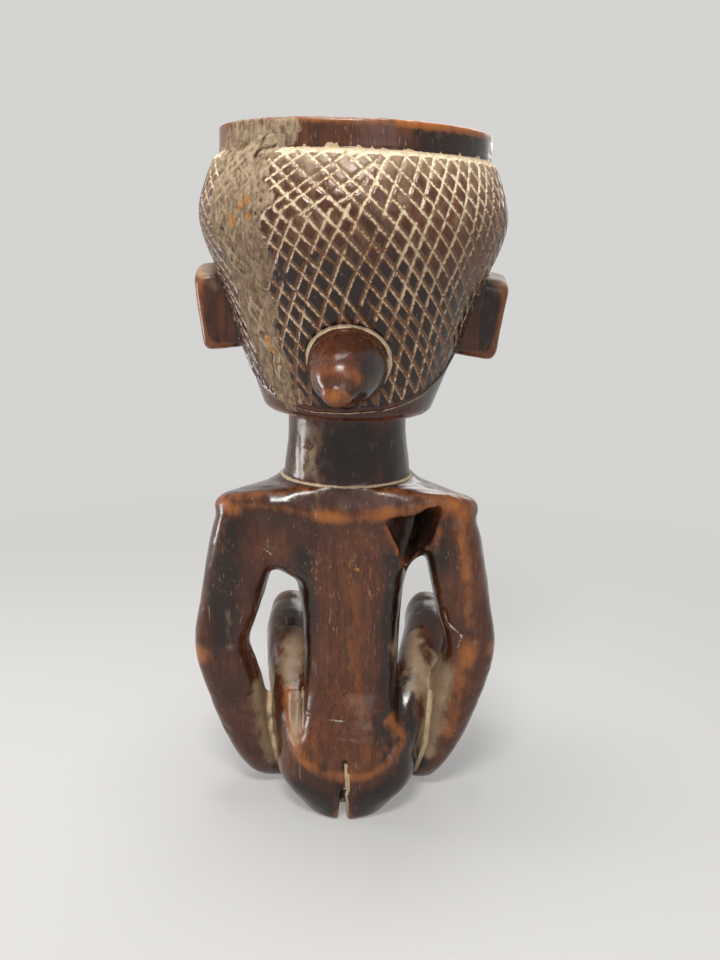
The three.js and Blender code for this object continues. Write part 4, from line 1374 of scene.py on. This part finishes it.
def raised(n, shader, height, strength, distance):
    """Feeds a height in the material to the shader's normal."""
    bump = n.add("ShaderNodeBump")
    bump.inputs["Strength"].default_value = strength
    bump.inputs["Distance"].default_value = distance
    n.link(height, bump.inputs["Height"])
    n.link(bump.outputs["Normal"], shader.inputs["Normal"])


def polished_wood(colours):
    """Dark red-brown polished wood, worn orange on its edges, with pale residue in its cuts."""
    material, n, shader = principled("Polished wood")
    grain = n.group("Wood grain", Streaks=1.0)
    streak, mottle = grain.outputs["Streak"], grain.outputs["Mottle"]
    red = n.math("ADD", n.blend(n.ramp(0.3, 0.7, mottle), 0.3, 0.95), n.named("reddish"))
    # darker where the wood is blackened and where shade is painted
    red = n.math("SUBTRACT", red, n.times(n.named("blackened_and_shade"), 1.5), clamp=True)
    red = n.times(red, n.blend(0.62, 1.0, n.ramp(0.38, 0.62, streak)))
    colour = n.mix(red, colours.dark_wood, colours.heartwood)

    # wear, from brown to orange
    worn = n.group("Worn edges", Edge=n.named("edge"), Places=n.named("rubbed"))
    brown = n.mix(0.45, colours.heartwood, colours.worn_wood)
    colour = n.mix(n.times(worn.outputs["Mask"], 0.9), colour, brown)
    colour = n.mix(worn.outputs["Core"], colour, colours.worn_wood)
    flecks = n.times(grain.outputs["Fleck"], n.named("flecked"))
    colour = n.mix(n.times(flecks, 0.62), colour, n.mix(0.5, colours.worn_wood, colours.residue))
    scratch = n.group("Fine scratches", Amount=0.5)
    colour = n.mix(n.times(scratch.outputs["Mask"], 0.45), colour, colours.residue)

    # the lattice: brown floors, a film of dust and painted sheen, then the pale line on the upward flank of
    # each cut, which is residue and painted light
    grit = n.noise(n.place(), 1.1, 4, 0.7)
    ragged = n.times(n.math("SUBTRACT", grit, 0.5), 1.5)
    floor = n.math("SUBTRACT", n.named("cut_reach"), n.times(n.named("cut_gap"), 1 / STORED_GAP))
    floor = n.math("ADD", floor, n.times(ragged, 0.35))
    colour = n.mix(n.ramp(-0.16, 0.12, floor), colour, colours.cut_wood)
    # a pale film of dust, which on the ears' tops is a painted highlight and elsewhere partly a painted sheen
    clouds = n.noise(n.place((1, 1, 0.6)), 0.3, 5, 0.56)
    film = n.math("ADD", n.named("dust_and_highlight"), n.times(n.math("SUBTRACT", clouds, 0.5), 1.7))
    film = n.times(n.ramp(0.1, 1.05, film), 0.74)
    colour = n.mix(film, colour, n.mix(0.42, colours.crust, colours.residue))
    line = n.math("SUBTRACT", n.named("line_reach"), n.times(n.named("line_gap"), 1 / STORED_GAP))
    cuts = n.ramp(-0.1, 0.12, n.math("ADD", line, ragged))
    folds = n.group("Settled residue", Depth=n.named("residue"), Limit=0.5, Raggedness=0.5)
    pale = n.most(cuts, folds.outputs["Mask"])
    shade = n.noise(n.place(), 0.9, 3, 0.6)
    cream = n.mix(n.ramp(0.32, 0.68, shade), n.mix(0.3, colours.residue, colours.crust), colours.residue)
    # higher up the cream turns brighter: cleaner residue and painted light from above
    cream = n.mix(n.times(n.named("upper_dust_and_light"), n.ramp(0.3, 0.55, shade)), cream, colours.upper_residue_and_light)
    colour = n.mix(pale, colour, cream)

    # the crust lies over the lattice, and amber wood shows where it came off
    crust = n.group("Old crust", Amount=n.named("crusted"))
    crusty = crust.outputs["Mask"]
    # high on the head the crust is painted paler, partly as light from above
    dry_and_top_light = n.times(n.named("upper_dust_and_light"), n.times(crust.outputs["Light"], 0.4))
    crust_dry_and_lit = n.mix(dry_and_top_light, crust_colour(n, crust, colours), colours.residue)
    colour = n.mix(n.times(crusty, 0.86), colour, crust_dry_and_lit)
    colour, raw = raw_colour(n, colour, shade, grit, colours)
    n.link(colour, shader.inputs["Base Color"])

    matt = n.most(n.most(pale, raw), n.most(n.times(film, 0.55), n.times(crusty, 0.9)))
    polish = n.blend(n.ramp(0.3, 0.7, n.noise(n.place(), 0.22, 3, 0.6)), 0.13, 0.26)
    polish = n.blend(worn.outputs["Mask"], polish, 0.32)
    n.link(n.blend(matt, polish, 0.86), shader.inputs["Roughness"])
    shader.inputs["Specular IOR Level"].default_value = 0.45
    gritty = n.times(folds.outputs["Height"], n.times(pale, 0.9))
    height = n.math("ADD", n.times(grain.outputs["Height"], 0.12), gritty)
    height = n.math("SUBTRACT", height, n.times(scratch.outputs["Mask"], 0.25))
    height = n.math("ADD", height, n.times(n.noise(n.place(), 0.45, 3, 0.5), 0.5))
    height = n.math("ADD", height, n.times(crusty, n.times(crust.outputs["Height"], 5.0)))
    raised(n, shader, height, 0.55, 0.00022)
    return material


def repair_filler(colours):
    """Old matt filler: the same grey-brown crust with grit, pits and pale dust."""
    material, n, shader = principled("Repair filler")
    crust = n.group("Old crust", Amount=1.0)
    colour = crust_colour(n, crust, colours)
    dust = n.group("Settled residue", Depth=n.named("dust_and_highlight"), Limit=0.7, Raggedness=0.6)
    colour = n.mix(n.times(dust.outputs["Mask"], 0.5), colour, colours.residue)
    colour = n.mix(n.named("blackened_and_shade"), colour, colours.dark_wood)
    shade = n.noise(n.place(), 0.9, 3, 0.6)
    colour, raw = raw_colour(n, colour, shade, shade, colours)
    n.link(colour, shader.inputs["Base Color"])
    n.link(n.blend(raw, n.blend(crust.outputs["Light"], 0.66, 0.9), 0.5), shader.inputs["Roughness"])
    shader.inputs["Specular IOR Level"].default_value = 0.3
    raised(n, shader, crust.outputs["Height"], 1.0, 0.0009)
    return material


def looked_at(n):
    """1 for rays from the camera, reflections and glass, which see an even tone instead of lit ground."""
    rays = n.add("ShaderNodeLightPath").outputs
    return n.most(rays["Is Camera Ray"], n.most(rays["Is Glossy Ray"], rays["Is Transmission Ray"]))


def studio_surface(name, colour):
    """A plain pale floor: lit near the cup, and an even tone further out for the camera and reflections."""
    material, n, shader = principled(name)
    n.put(tuple(colour), shader.inputs["Base Color"])
    shader.inputs["Roughness"].default_value = 0.9
    shader.inputs["Specular IOR Level"].default_value = 0.0
    even = n.add("ShaderNodeEmission")
    n.put(tuple(colour), even.inputs["Color"])
    even.inputs["Strength"].default_value = 1.0
    spread = n.add("ShaderNodeVectorMath", operation="LENGTH")
    n.link(n.add("ShaderNodeTexCoord").outputs["Object"], spread.inputs[0])
    share = n.blend(n.ramp(0.06, 0.42, spread.outputs["Value"]), 0.4, 1.0)
    both = n.add("ShaderNodeMixShader")
    n.link(n.times(looked_at(n), share), both.inputs["Fac"])
    n.link(shader.outputs[0], both.inputs[1])
    n.link(even.outputs[0], both.inputs[2])
    output = next(node for node in n.tree.nodes if node.type == "OUTPUT_MATERIAL")
    n.link(both.outputs[0], output.inputs["Surface"])
    return material


def finished(obj, node):
    """The piece stands for a CAD node, which is hidden, and rides on the block's body."""
    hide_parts(node)
    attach(obj, "root")


def set_values(mesh, name, values):
    """Stores a value from 0 to 1 at each vertex, for the materials to read by name."""
    layer = mesh.attributes.new(name, "FLOAT", "POINT")
    layer.data.foreach_set("value", np.clip(values, 0, 1).astype(np.float32))


class BlockSkin:
    """The joined block: where each vertex lies, how far each carving reaches it, and how it has worn."""

    def __init__(self, mesh, sizes):
        self.sizes = sizes
        near = Neighbours(mesh)
        self.press_on_wall(mesh)
        angle, height, gap = self.angle, self.height, self.gap
        self.degrees = np.degrees(angle)
        bulge = np.einsum("ij,ij->i", self.points - near.relaxed(self.points, 14), self.normal)
        self.bulge = near.relaxed(bulge, 3)
        self.on_bowl = (1 - ramp(0.5, 1.3, np.abs(gap))) * (self.normal[:, 2] < 0.9)
        self.on_rim = (height > RIM_GROOVE - 0.3) & (gap > -1.5)

        edge_height, slope = hairline(angle)
        self.inside = (height - edge_height) / np.sqrt(1 + slope**2)
        axis = KNOB_AXIS / np.linalg.norm(KNOB_AXIS)
        offset = self.upright - KNOB_ROOT
        self.off_axis = np.linalg.norm(offset - (offset @ axis)[:, None] * axis, axis=1)
        knob_gap = self.off_axis - (KNOB_RADIUS - 0.3)
        behind = self.upright[:, 1] < -18
        self.knob_ring = np.exp(-(((knob_gap - 0.5) / 0.75) ** 2)) * behind * (np.abs(gap) < 2.2)

        below_groove = 1 - ramp(RIM_GROOVE - 1.3, RIM_GROOVE - 0.1, height)
        self.hair = self.on_bowl * ramp(0.5, 1.4, self.inside) * below_groove
        self.hair *= np.where(behind, ramp(0.7, 1.5, knob_gap), 1)
        self.crust = crusted(angle, height) * self.on_bowl * (height > 125)
        self.holes, self.cracks, self.amber = head_marks(angle, height)
        self.falling, self.falling_depth, self.rising, self.rising_depth = lattice(angle, height, self.radius)
        self.half_width = sizes.groove_half_width / MM * (1 + 0.2 * bumpy(self.points, 6, 3))

    def press_on_wall(self, mesh):
        """Presses what lies near the bowl's turned wall onto it, and notes places and normals."""
        self.angle, self.height, self.radius, upright = head_place(points_of(mesh))
        wall = outside_radius(self.height)
        self.gap = self.radius - wall
        snug = (1 - ramp(0.25, 0.7, np.abs(self.gap))) * ramp(SKULL_BASE + 2, SKULL_BASE + 4, self.height)
        scale = 1 + snug * (wall / np.maximum(self.radius, 1) - 1)
        self.upright = upright * np.stack([scale, scale, np.ones(len(scale))], -1)
        self.points = moved((self.upright, None), LEAN)[0]
        put_points(mesh, self.points)
        self.normal = normals_of(mesh)

    def lift(self):
        """How far the carving moves each vertex out along its normal."""
        sizes, points, height, gap = self.sizes, self.points, self.height, self.gap
        groove = np.maximum(
            self.falling_depth * np.clip(1 - np.abs(self.falling) / self.half_width, 0, 1),
            self.rising_depth * np.clip(1 - np.abs(self.rising) / self.half_width, 0, 1),
        )
        lift = -self.hair * groove * (1 - 0.6 * self.crust) * sizes.groove_depth / MM
        lift -= (1.2 * self.holes + 0.7 * self.cracks) * (np.abs(gap) < 2)
        lift += 0.14 * self.crust * rough(points, 1.8, 8, 3)

        # the lip round the hair, the raised hair, the groove under the rim and the ring round the knob
        lip = np.exp(-((self.inside / 0.75) ** 2)) * self.on_bowl
        lift += sizes.lip_height / MM * lip
        lift += 0.3 * self.on_bowl * ramp(-0.4, 0.6, self.inside) * (height < RIM_GROOVE + 0.1)
        under_rim = np.exp(-(((height - RIM_GROOVE) / 0.7) ** 2)) * (gap > -2)
        lift -= 0.55 * under_rim + 0.6 * self.knob_ring

        # soft facets of the knife, a little chatter, and dents
        tool = bumpy(points, 5.5, 11) + 0.5 * bumpy(points, 2.6, 12)
        on_knob = (self.upright[:, 1] < -28) & (self.off_axis < KNOB_RADIUS + 1) & (height < 152)
        lift += sizes.tool_mark_depth / MM * tool * (1 - 0.6 * self.on_bowl) * (1 - 0.7 * on_knob)
        lift -= 0.25 * ramp(0.62, 0.85, bumpy(points, 3.2, 21)) * ramp(0.03, 0.12, self.bulge)
        return lift + strokes(points, RAISED_STROKES) - strokes(points, SUNKEN_STROKES)

    def cut_values(self, facing):
        """The brown floors of the lattice's cuts, and the pale line of residue on each cut's upward flank,
        partly settled dust and partly painted light; the brown left on the other flank is painted shade.
        """
        falling, rising, hair = self.falling, self.rising, self.hair
        shallow = 0.4
        cut = np.minimum(
            np.abs(falling) + 0.6 * (self.falling_depth < shallow),
            np.abs(rising) + 0.6 * (self.rising_depth < shallow),
        )
        upper = ramp(168, 180, self.height)
        lit_flank_shift = 0.3 * (1 - upper)
        pale = np.minimum(
            np.abs(falling + lit_flank_shift) + 0.9 * (1 - np.minimum(self.falling_depth / 0.6, 1)),
            np.abs(rising - lit_flank_shift) + 0.9 * (1 - np.minimum(self.rising_depth / 0.6, 1)),
        )
        reach = 0.04 + 0.13 * ramp(140, 160, self.height) + 0.04 * upper
        # the pale line is wider where the skin faces up, as painted light
        reach += 0.16 * bumpy(self.points, 9, 14) + 0.08 * ramp(-0.5, 0.6, facing[:, 2])
        reach *= 1 - 0.6 * ramp(0.2, 0.8, self.crust)
        return {
            "cut_gap": np.where(hair > 0.3, STORED_GAP * cut, 1),
            "cut_reach": hair * self.half_width,
            "line_gap": np.where(hair > 0.3, STORED_GAP * pale, 1),
            "line_reach": hair * reach,
        }

    def residue(self, facing):
        """Pale dust and clay under the rim, round the knob and the neck, below the lip and in the folds."""
        points, height, none = self.points, self.height, 0 * self.degrees
        drips = rough(np.stack([self.degrees / 1.9, none, none], -1), 1.0, 5, 2)
        drips = np.clip(drips + 0.1, 0, 0.8) ** 2
        above = height - (RIM_GROOVE - 0.4)
        rim = 0.85 * (1 - ramp(0.4 + 1.2 * drips, 0.8 + 2.6 * drips, above)) * (above > -1) * (self.gap > -2)
        rim *= self.normal[:, 2] < 0.8
        powdery = 0.75 + 0.5 * bumpy(points, 3, 6)
        band = 0.8 * ramp(RIM_GROOVE - 3.5, RIM_GROOVE - 0.5, height) * self.hair * powdery
        high_right = ramp(-6, 4, self.upright[:, 2] - 137 + 0.5 * self.upright[:, 0])
        knob = (0.5 + 0.4 * high_right + 0.12 * bumpy(points, 3, 61)) * self.knob_ring**2
        lip = 0.62 * np.exp(-(((self.inside + 0.9) / 0.4) ** 2)) * self.on_bowl
        x, y, z = points.T
        off_neck = np.abs(np.hypot(x, y) - NECK_FOOT_RADIUS - 0.2)
        neck_foot = np.exp(-(((z - 103.8) / 0.42) ** 2)) * (off_neck < 3) * ramp(9, -3, y)
        cleft = (np.abs(x) < 2.2) & (y < -12) & (z < 18) & (facing[:, 0] < -0.35)
        folds = strokes(points, PALE_STROKES)
        return np.maximum.reduce([rim, band, knob, lip, 0.9 * neck_foot, folds, 0.95 * cleft])

    def wear(self, facing):
        """Where the wood is rubbed bare, blackened or painted dark as shade, redder, or dusty or painted pale
        as a highlight or sheen.
        """
        points, height, degrees, hair, on_rim = self.points, self.height, self.degrees, self.hair, self.on_rim
        x, y = self.upright[:, 0], self.upright[:, 1]
        rim_edge = ramp(RIM_TOP - 2.6, RIM_TOP - 1.4, height)

        # the ears, seen as slabs: tops painted pale as a highlight, bottoms painted dark as shade, and dark
        # roots
        on_ear = (np.abs(x) > 37) & (np.abs(y - EAR_FORWARD) < 9)
        on_ear &= (height > SKULL_BASE + EAR_BOTTOM - 2.5) & (height < SKULL_BASE + EAR_TOP + 2)
        ear_top_highlight = on_ear * ramp(0.3, 0.8, facing[:, 2])
        ear_bottom_shade = on_ear * ramp(0.25, -0.5, facing[:, 2])
        ear_root = on_ear * (x > 0) * ramp(45.5, 39, x + 0.8 * bumpy(points, 4, 51))

        panel = ramp(12, 32, degrees + 6 * bumpy(points, 3, 66)) * (1 - ramp(76, 84, degrees))
        rim_black = on_rim * panel * (1 - rim_edge)
        rim_worn = on_rim * (0.9 * ramp(4, 20, degrees) * (degrees < 84) * rim_edge)
        rim_worn += on_rim * 0.6 * (1 - ramp(-60, -46, degrees)) * (degrees > -95)
        uneven = 0.8 + 0.35 * bumpy(points, 7, 41) + 0.25 * bumpy(points, 2.6, 43)
        # the hair darker towards its foot
        low_hair = 0.75 * hair * (1 - ramp(158, 172, height))
        dark = (ear_bottom_shade, ear_root, rim_black, low_hair, self.holes, self.cracks)
        red_hair = 0.9 * hair * ramp(15, 45, degrees) * ramp(150, 165, height) * (1 - ramp(178, 188, height))
        # the hair greyer high up: dust and a painted sheen
        upper_hair_dust_and_sheen = hair * (0.25 * ramp(165, 178, height) + 0.55 * ramp(180, 191, height))
        return {
            "rubbed": [spots(points, RUBBED_PLACES), strokes(points, WORN_STROKES) * uneven, rim_worn],
            "blackened_and_shade": [spots(points, BLACK_AND_SHADED_PLACES), strokes(points, BLACK_AND_SHADED_STROKES), *dark],
            "reddish": [0.5 * spots(points, RED_PLACES), red_hair],
            "dust_and_highlight": [spots(points, DUSTY_PLACES), strokes(points, DUST_AND_SHEEN_STROKES), ear_top_highlight, upper_hair_dust_and_sheen],
        }

    def values(self, facing):
        """All that the materials read at each vertex, once the carved skin faces this way."""
        hair, height = self.hair, self.height
        return {
            **self.cut_values(facing),
            "residue": self.residue(facing),
            # residue and crust high on the head, painted lighter as light from above
            "upper_dust_and_light": ramp(170, 184, height) * np.maximum(hair, self.crust),
            "edge": ramp(0.06, 0.26, self.bulge) * (1 - hair) * (height < RIM_TOP),
            "crusted": 0.85 * self.crust,
            **{name: np.maximum.reduce(parts) for name, parts in self.wear(facing).items()},
            "flecked": np.maximum(spots(self.points, FLECKED_PLACES), 0.7 * self.on_rim),
            "raw": np.maximum(spots(self.points, RAW_PLACES), self.amber * self.on_bowl),
        }


class CUP_OT_carved_block(bpy.types.Operator):
    """Carve the figure, the bowl and the hair from one block"""

    bl_idname = "cup.carved_block"
    bl_label = "Carved block"

    def execute(self, context):
        sizes = context.scene.cup_sizes
        mesh = joined(self.forms(), sizes.grain_of_mesh / MM)
        self.soften(mesh)
        refined(mesh, self.finely_carved(mesh))
        block = BlockSkin(mesh, sizes)
        put_points(mesh, block.points + block.lift()[:, None] * block.normal)
        for name, values in block.values(normals_of(mesh)).items():
            set_values(mesh, name, values)
        put_points(mesh, points_of(mesh) * MM)
        mesh.name = "carved_cup_wood"
        made = bpy.data.objects.new("carved_cup_wood", mesh)
        context.scene.collection.objects.link(made)
        mesh.polygons.foreach_set("use_smooth", np.ones(len(mesh.polygons), bool))
        mesh.materials.clear()
        mesh.materials.append(polished_wood(context.scene.cup_colours))
        finished(made, "carved_cup")
        return {"FINISHED"}

    def forms(self):
        """The turned, lofted and cut forms that the block is joined from."""
        hollow = moved(hollow_cutter(), LEAN)
        heads = [bowl_shell(), knob(), ear(-1), ear(1), *face_features()]
        forms = [moved(form, LEAN) for form in heads]
        forms.append(cut_away(moved(face_mass(), LEAN), [hollow]))
        cleft, armpit = cleft_cutter(), armpit_cutter()
        forms.append(cut_away(trunk(), [cleft, armpit]))
        forms.append(neck())
        for side in SIDES:
            forms.append(cut_away(thigh(side), [cleft]))
            forms.append(cut_away(arm(side), [armpit]) if side > 0 else arm(side))
            forms += shin_and_foot(side)
        return forms

    def soften(self, mesh):
        """Takes the steps out of the joined mesh, and rubs the body, the jaw and the back's hollows soft."""
        near = Neighbours(mesh)
        points = near.without_shrinking(points_of(mesh), 5)
        on_head = ramp(99, 106, points[:, 2])
        on_jaw = (1 - ramp(3, 8, np.abs(points[:, 2] - 131))) * ramp(8, 14, points[:, 1])
        points = near.relaxed(points, 7, 0.5 * np.maximum(1 - on_head, 0.8 * on_jaw)[:, None])
        points = near.relaxed(points, 26, 0.5 * strokes(points, SOFT_STROKES)[:, None])
        put_points(mesh, points)

    def finely_carved(self, mesh):
        """Whether each vertex lies in the hair, the face's features or the seat, which need a finer mesh."""
        points = points_of(mesh)
        x, y, z = points.T
        angle, height, radius, upright = head_place(points)
        gap = radius - outside_radius(height)
        hair = (np.abs(gap) < 1.2) & (height > hairline(angle)[0] - 2.5) & (height < RIM_FOOT + 0.5)
        features = (upright[:, 1] > 27) & (height > 117) & (height < 168) & (np.abs(upright[:, 0]) < 24)
        seat = (y < -13) & (z < 48) & (z > 4) & (np.abs(x) < 19)
        return hair | (features & (gap > -2.5)) | seat


# The neck filler's sides: height, then degrees from the middle of the back
NECK_PATCH_SIDES = ((100, -44, -28), (110, -50, -27), (116, -51, -26), (121, -47, -29))
PATCH_GRAIN = 0.5
PATCH_DEPTH = 1.6
EDGE_DEPTH = 0.9


def neck_radius(z):
    """Radius of the neck's skin behind, at a height."""
    return np.interp(z, [100, 106, 113, 121], [18.5, 18.2, 17.5, 17.2])


class CUP_OT_repair_fillers(bpy.types.Operator):
    """Lay the two lumpy repair fillers on the bowl and the neck"""

    bl_idname = "cup.repair_fillers"
    bl_label = "Repair fillers"

    def execute(self, context):
        sizes = context.scene.cup_sizes
        material = repair_filler(context.scene.cup_colours)
        proud = sizes.filler_height / MM
        low, high = SKULL_BASE + 5, RIM_TOP - RIM_EDGE - 0.6
        sides = [(z, left + 3, right - 3.5) for z, left, right in CRUST_SIDES]
        made = self.patch("bowl_filler_crust", low, high, sides, outside_radius, proud, LEAN)
        self.finish(made, "bowl_crack_filler", material, 0)
        low, high, sides = BODY_HEIGHT + 9.5, SKULL_BASE - 4, NECK_PATCH_SIDES
        made = self.patch("neck_filler_crust", low, high, sides, neck_radius, 0.25 * proud, Matrix())
        self.finish(made, "neck_crack_filler", material, 0.5)
        return {"FINISHED"}

    def patch(self, name, low, high, sides, surface, proud, place):
        """A crust between two sides of a turned surface, proud in the middle and sunk at its ragged edge."""
        rows, columns = int((high - low) / PATCH_GRAIN), 44
        v = np.linspace(0, 1, rows)
        levels = low + v * (high - low)
        table = np.array(sides, float)
        left, right = (np.radians(np.interp(levels, table[:, 0], table[:, k])) for k in (1, 2))
        across = np.tile(np.linspace(-1, 1, columns), rows)
        z = np.repeat(levels, columns)
        radius = surface(z)
        turn = np.repeat((left + right) / 2, columns) + across * np.repeat((right - left) / 2, columns)
        width = np.repeat(right - left, columns) * radius

        def at(radius):
            return np.stack([radius * np.sin(turn), -radius * np.cos(turn), z], -1)

        flat = at(radius)
        ends = np.minimum(np.repeat(v, columns), 1 - np.repeat(v, columns)) * (high - low) / 3
        inwards = np.minimum((1 - np.abs(across)) * width / 2, 2.2 * ends)

        # lumps, grit and pits inside the ragged border, and a sunken edge outside it
        within = ramp(0, 2.2, inwards - 0.8 + 3 * rough(flat, 4, 9, 3))
        lumps = proud * (0.9 + 0.8 * rough(flat, 6.5, 5, 3)) + 0.12 * bumpy(flat, 0.9, 4)
        lift = within * lumps - (1 - within) * EDGE_DEPTH
        lift -= 0.5 * ramp(0.5, 0.75, bumpy(flat, 1.7, 31)) * within
        lift -= 0.9 * ramp(0.78, 0.9, bumpy(flat, 2.4, 37)) * within
        skins = np.vstack([at(radius + lift), at(radius - PATCH_DEPTH)])
        points = moved((skins, None), place)[0]
        grid = np.arange(rows * columns).reshape(rows, columns)
        top = np.stack([grid[:-1, :-1], grid[:-1, 1:], grid[1:, 1:], grid[1:, :-1]], -1).reshape(-1, 4)
        bottom = top[:, ::-1] + grid.size
        border = np.concatenate([grid[0, :], grid[1:, -1], grid[-1, -2::-1], grid[-2:0:-1, 0]])
        after = np.roll(border, -1)
        walls = np.stack([after, border, border + grid.size, after + grid.size], -1)
        faces = np.vstack([top, bottom, walls]).tolist()
        return mesh_object(name, points * MM, faces)

    def finish(self, made, node, material, darkness):
        """Marks the holes, cracks and amber spots, and gives the patch its finish."""
        mesh = made.data
        mesh.polygons.foreach_set("use_smooth", np.ones(len(mesh.polygons), bool))
        points = points_of(mesh) / MM
        angle, height, radius, _ = head_place(points)
        holes, cracks, amber = head_marks(angle, height)
        falling, _, rising, _ = lattice(angle, height, radius)
        line = np.exp(-((np.minimum(np.abs(falling), np.abs(rising)) / 0.4) ** 2)) * (height > 128)
        # the powder grows paler higher up, partly painted light from above
        powder_and_top_light = 0.45 + 0.22 * ramp(158, 180, height) + 0.4 * rough(points, 6.5, 5, 3)
        set_values(mesh, "dust_and_highlight", powder_and_top_light + 0.4 * line)
        set_values(mesh, "raw", amber)
        set_values(mesh, "blackened_and_shade", np.maximum(np.maximum(holes, cracks), darkness))
        mesh.materials.append(material)
        finished(made, node)


# The studio, in metres
FLOOR_RINGS = (0.15, 0.6, 3.0)
FLOOR_SIDES = 64
CAMERA_PLACE = (0.0039, -0.2776, 0.1707)
CAMERA_DROP = math.radians(14.04)
CAMERA_ROLL = math.radians(0.8)
CAMERA_LENS = 36


class CUP_OT_studio(bpy.types.Operator):
    """Set the pale floor and backdrop, the soft lamps and the camera"""

    bl_idname = "cup.studio"
    bl_label = "Studio"

    def execute(self, context):
        scene = context.scene
        sizes = scene.cup_studio
        sides = FLOOR_SIDES
        turn = 2 * np.pi * np.arange(sides) / sides
        circle = np.stack([np.cos(turn), np.sin(turn), 0 * turn], -1)
        points = np.vstack([radius * circle for radius in FLOOR_RINGS])
        faces = [list(range(sides))]
        for low in (0, sides):
            for k in range(sides):
                after = (k + 1) % sides
                faces.append([low + sides + k, low + sides + after, low + after, low + k])
        floor = mesh_object("studio_floor", points, faces)
        floor.data.materials.append(studio_surface("Pale floor", sizes.floor_colour))
        power, warm, middle = sizes.key_power, (1, 0.98, 0.95), (0, 0, 0.12)
        self.lamp("Key", (-0.05, -0.40, 0.60), middle, 0.18, 0.12, 1.4 * power, (1, 0.97, 0.93))
        self.lamp("Top", (-0.03, 0.0, 0.62), middle, 0.16, 0.24, 0.9 * power, warm)
        side_power, left_arm = sizes.side_power, (-0.04, -0.01, 0.075)
        self.lamp("Side", (-0.38, 0.03, 0.085), left_arm, 0.10, 0.15, side_power, (1, 1, 1))
        self.lamp("Front", (0.28, -0.75, 0.42), (0, 0, 0.1), 0.5, 0.4, 0.35 * power, warm)
        self.lamp("Far side", (0.25, 0.75, 0.45), middle, 0.5, 0.4, 0.7 * power, warm)
        world = bpy.data.worlds.new("Studio air")
        world.use_nodes = True
        n = Nodes(world.node_tree)
        air = world.node_tree.nodes["Background"]
        air.inputs["Color"].default_value = (0.9, 0.92, 1.0, 1)
        air.inputs["Strength"].default_value = 0.14
        even = n.add("ShaderNodeBackground")
        n.put(tuple(sizes.floor_colour), even.inputs["Color"])
        even.inputs["Strength"].default_value = 1.0
        both = n.add("ShaderNodeMixShader")
        n.link(looked_at(n), both.inputs["Fac"])
        n.link(air.outputs[0], both.inputs[1])
        n.link(even.outputs[0], both.inputs[2])
        n.link(both.outputs[0], world.node_tree.nodes["World Output"].inputs["Surface"])
        scene.world = world
        self.camera(scene)
        scene.view_settings.view_transform = "Standard"
        return {"FINISHED"}

    def lamp(self, name, place, target, wide, tall, power, colour):
        light = bpy.data.lights.new(name, "AREA")
        light.shape = "RECTANGLE"
        light.size, light.size_y = wide, tall
        light.energy = power
        light.color = colour
        made = bpy.data.objects.new(name, light)
        made.location = place
        made.rotation_euler = (Vector(target) - Vector(place)).to_track_quat("-Z", "Y").to_euler()
        made.visible_camera = False
        bpy.context.scene.collection.objects.link(made)

    def camera(self, scene):
        """The photograph's view: a little above the cup, behind the figure, looking down by 14 degrees."""
        data = bpy.data.cameras.new("Camera")
        data.lens = CAMERA_LENS
        data.sensor_width = 36
        made = bpy.data.objects.new("Camera", data)
        made.location = CAMERA_PLACE
        pitch = Matrix.Rotation(math.pi / 2 - CAMERA_DROP, 3, "X")
        made.rotation_euler = (pitch @ Matrix.Rotation(CAMERA_ROLL, 3, "Z")).to_euler()
        data.clip_start, data.clip_end = 0.01, 10
        scene.collection.objects.link(made)
        scene.camera = made


class CUP_PT_panel(bpy.types.Panel):
    """Lists the cup's pieces and their sizes"""

    bl_idname = "CUP_PT_panel"
    bl_label = "Carved cup"
    bl_space_type = "VIEW_3D"
    bl_region_type = "UI"
    bl_category = "Carved cup"

    def draw(self, context):
        for operator in OPERATORS:
            self.layout.operator(operator.bl_idname)
        for group in (context.scene.cup_sizes, context.scene.cup_colours, context.scene.cup_studio):
            for name in group.bl_rna.properties.keys():
                if name not in {"rna_type", "name"}:
                    self.layout.prop(group, name)


GROUPS = {"cup_sizes": CupCarvingSizes, "cup_colours": CupColours, "cup_studio": StudioSizes}
OPERATORS = (CUP_OT_carved_block, CUP_OT_repair_fillers, CUP_OT_studio)


def register():
    for kind in (*GROUPS.values(), *OPERATORS, CUP_PT_panel):
        bpy.utils.register_class(kind)
    for name, kind in GROUPS.items():
        setattr(bpy.types.Scene, name, bpy.props.PointerProperty(type=kind))


def unregister():
    for name in GROUPS:
        delattr(bpy.types.Scene, name)
    for kind in (CUP_PT_panel, *reversed(OPERATORS), *reversed(list(GROUPS.values()))):
        bpy.utils.unregister_class(kind)


def main():
    register()
    wood_grain_group()
    scratches_group()
    settled_residue_group()
    worn_edge_group()
    old_crust_group()
    bpy.ops.cup.carved_block()
    bpy.ops.cup.repair_fillers()
    bpy.ops.cup.studio()


if __name__ == "__main__":
    main()
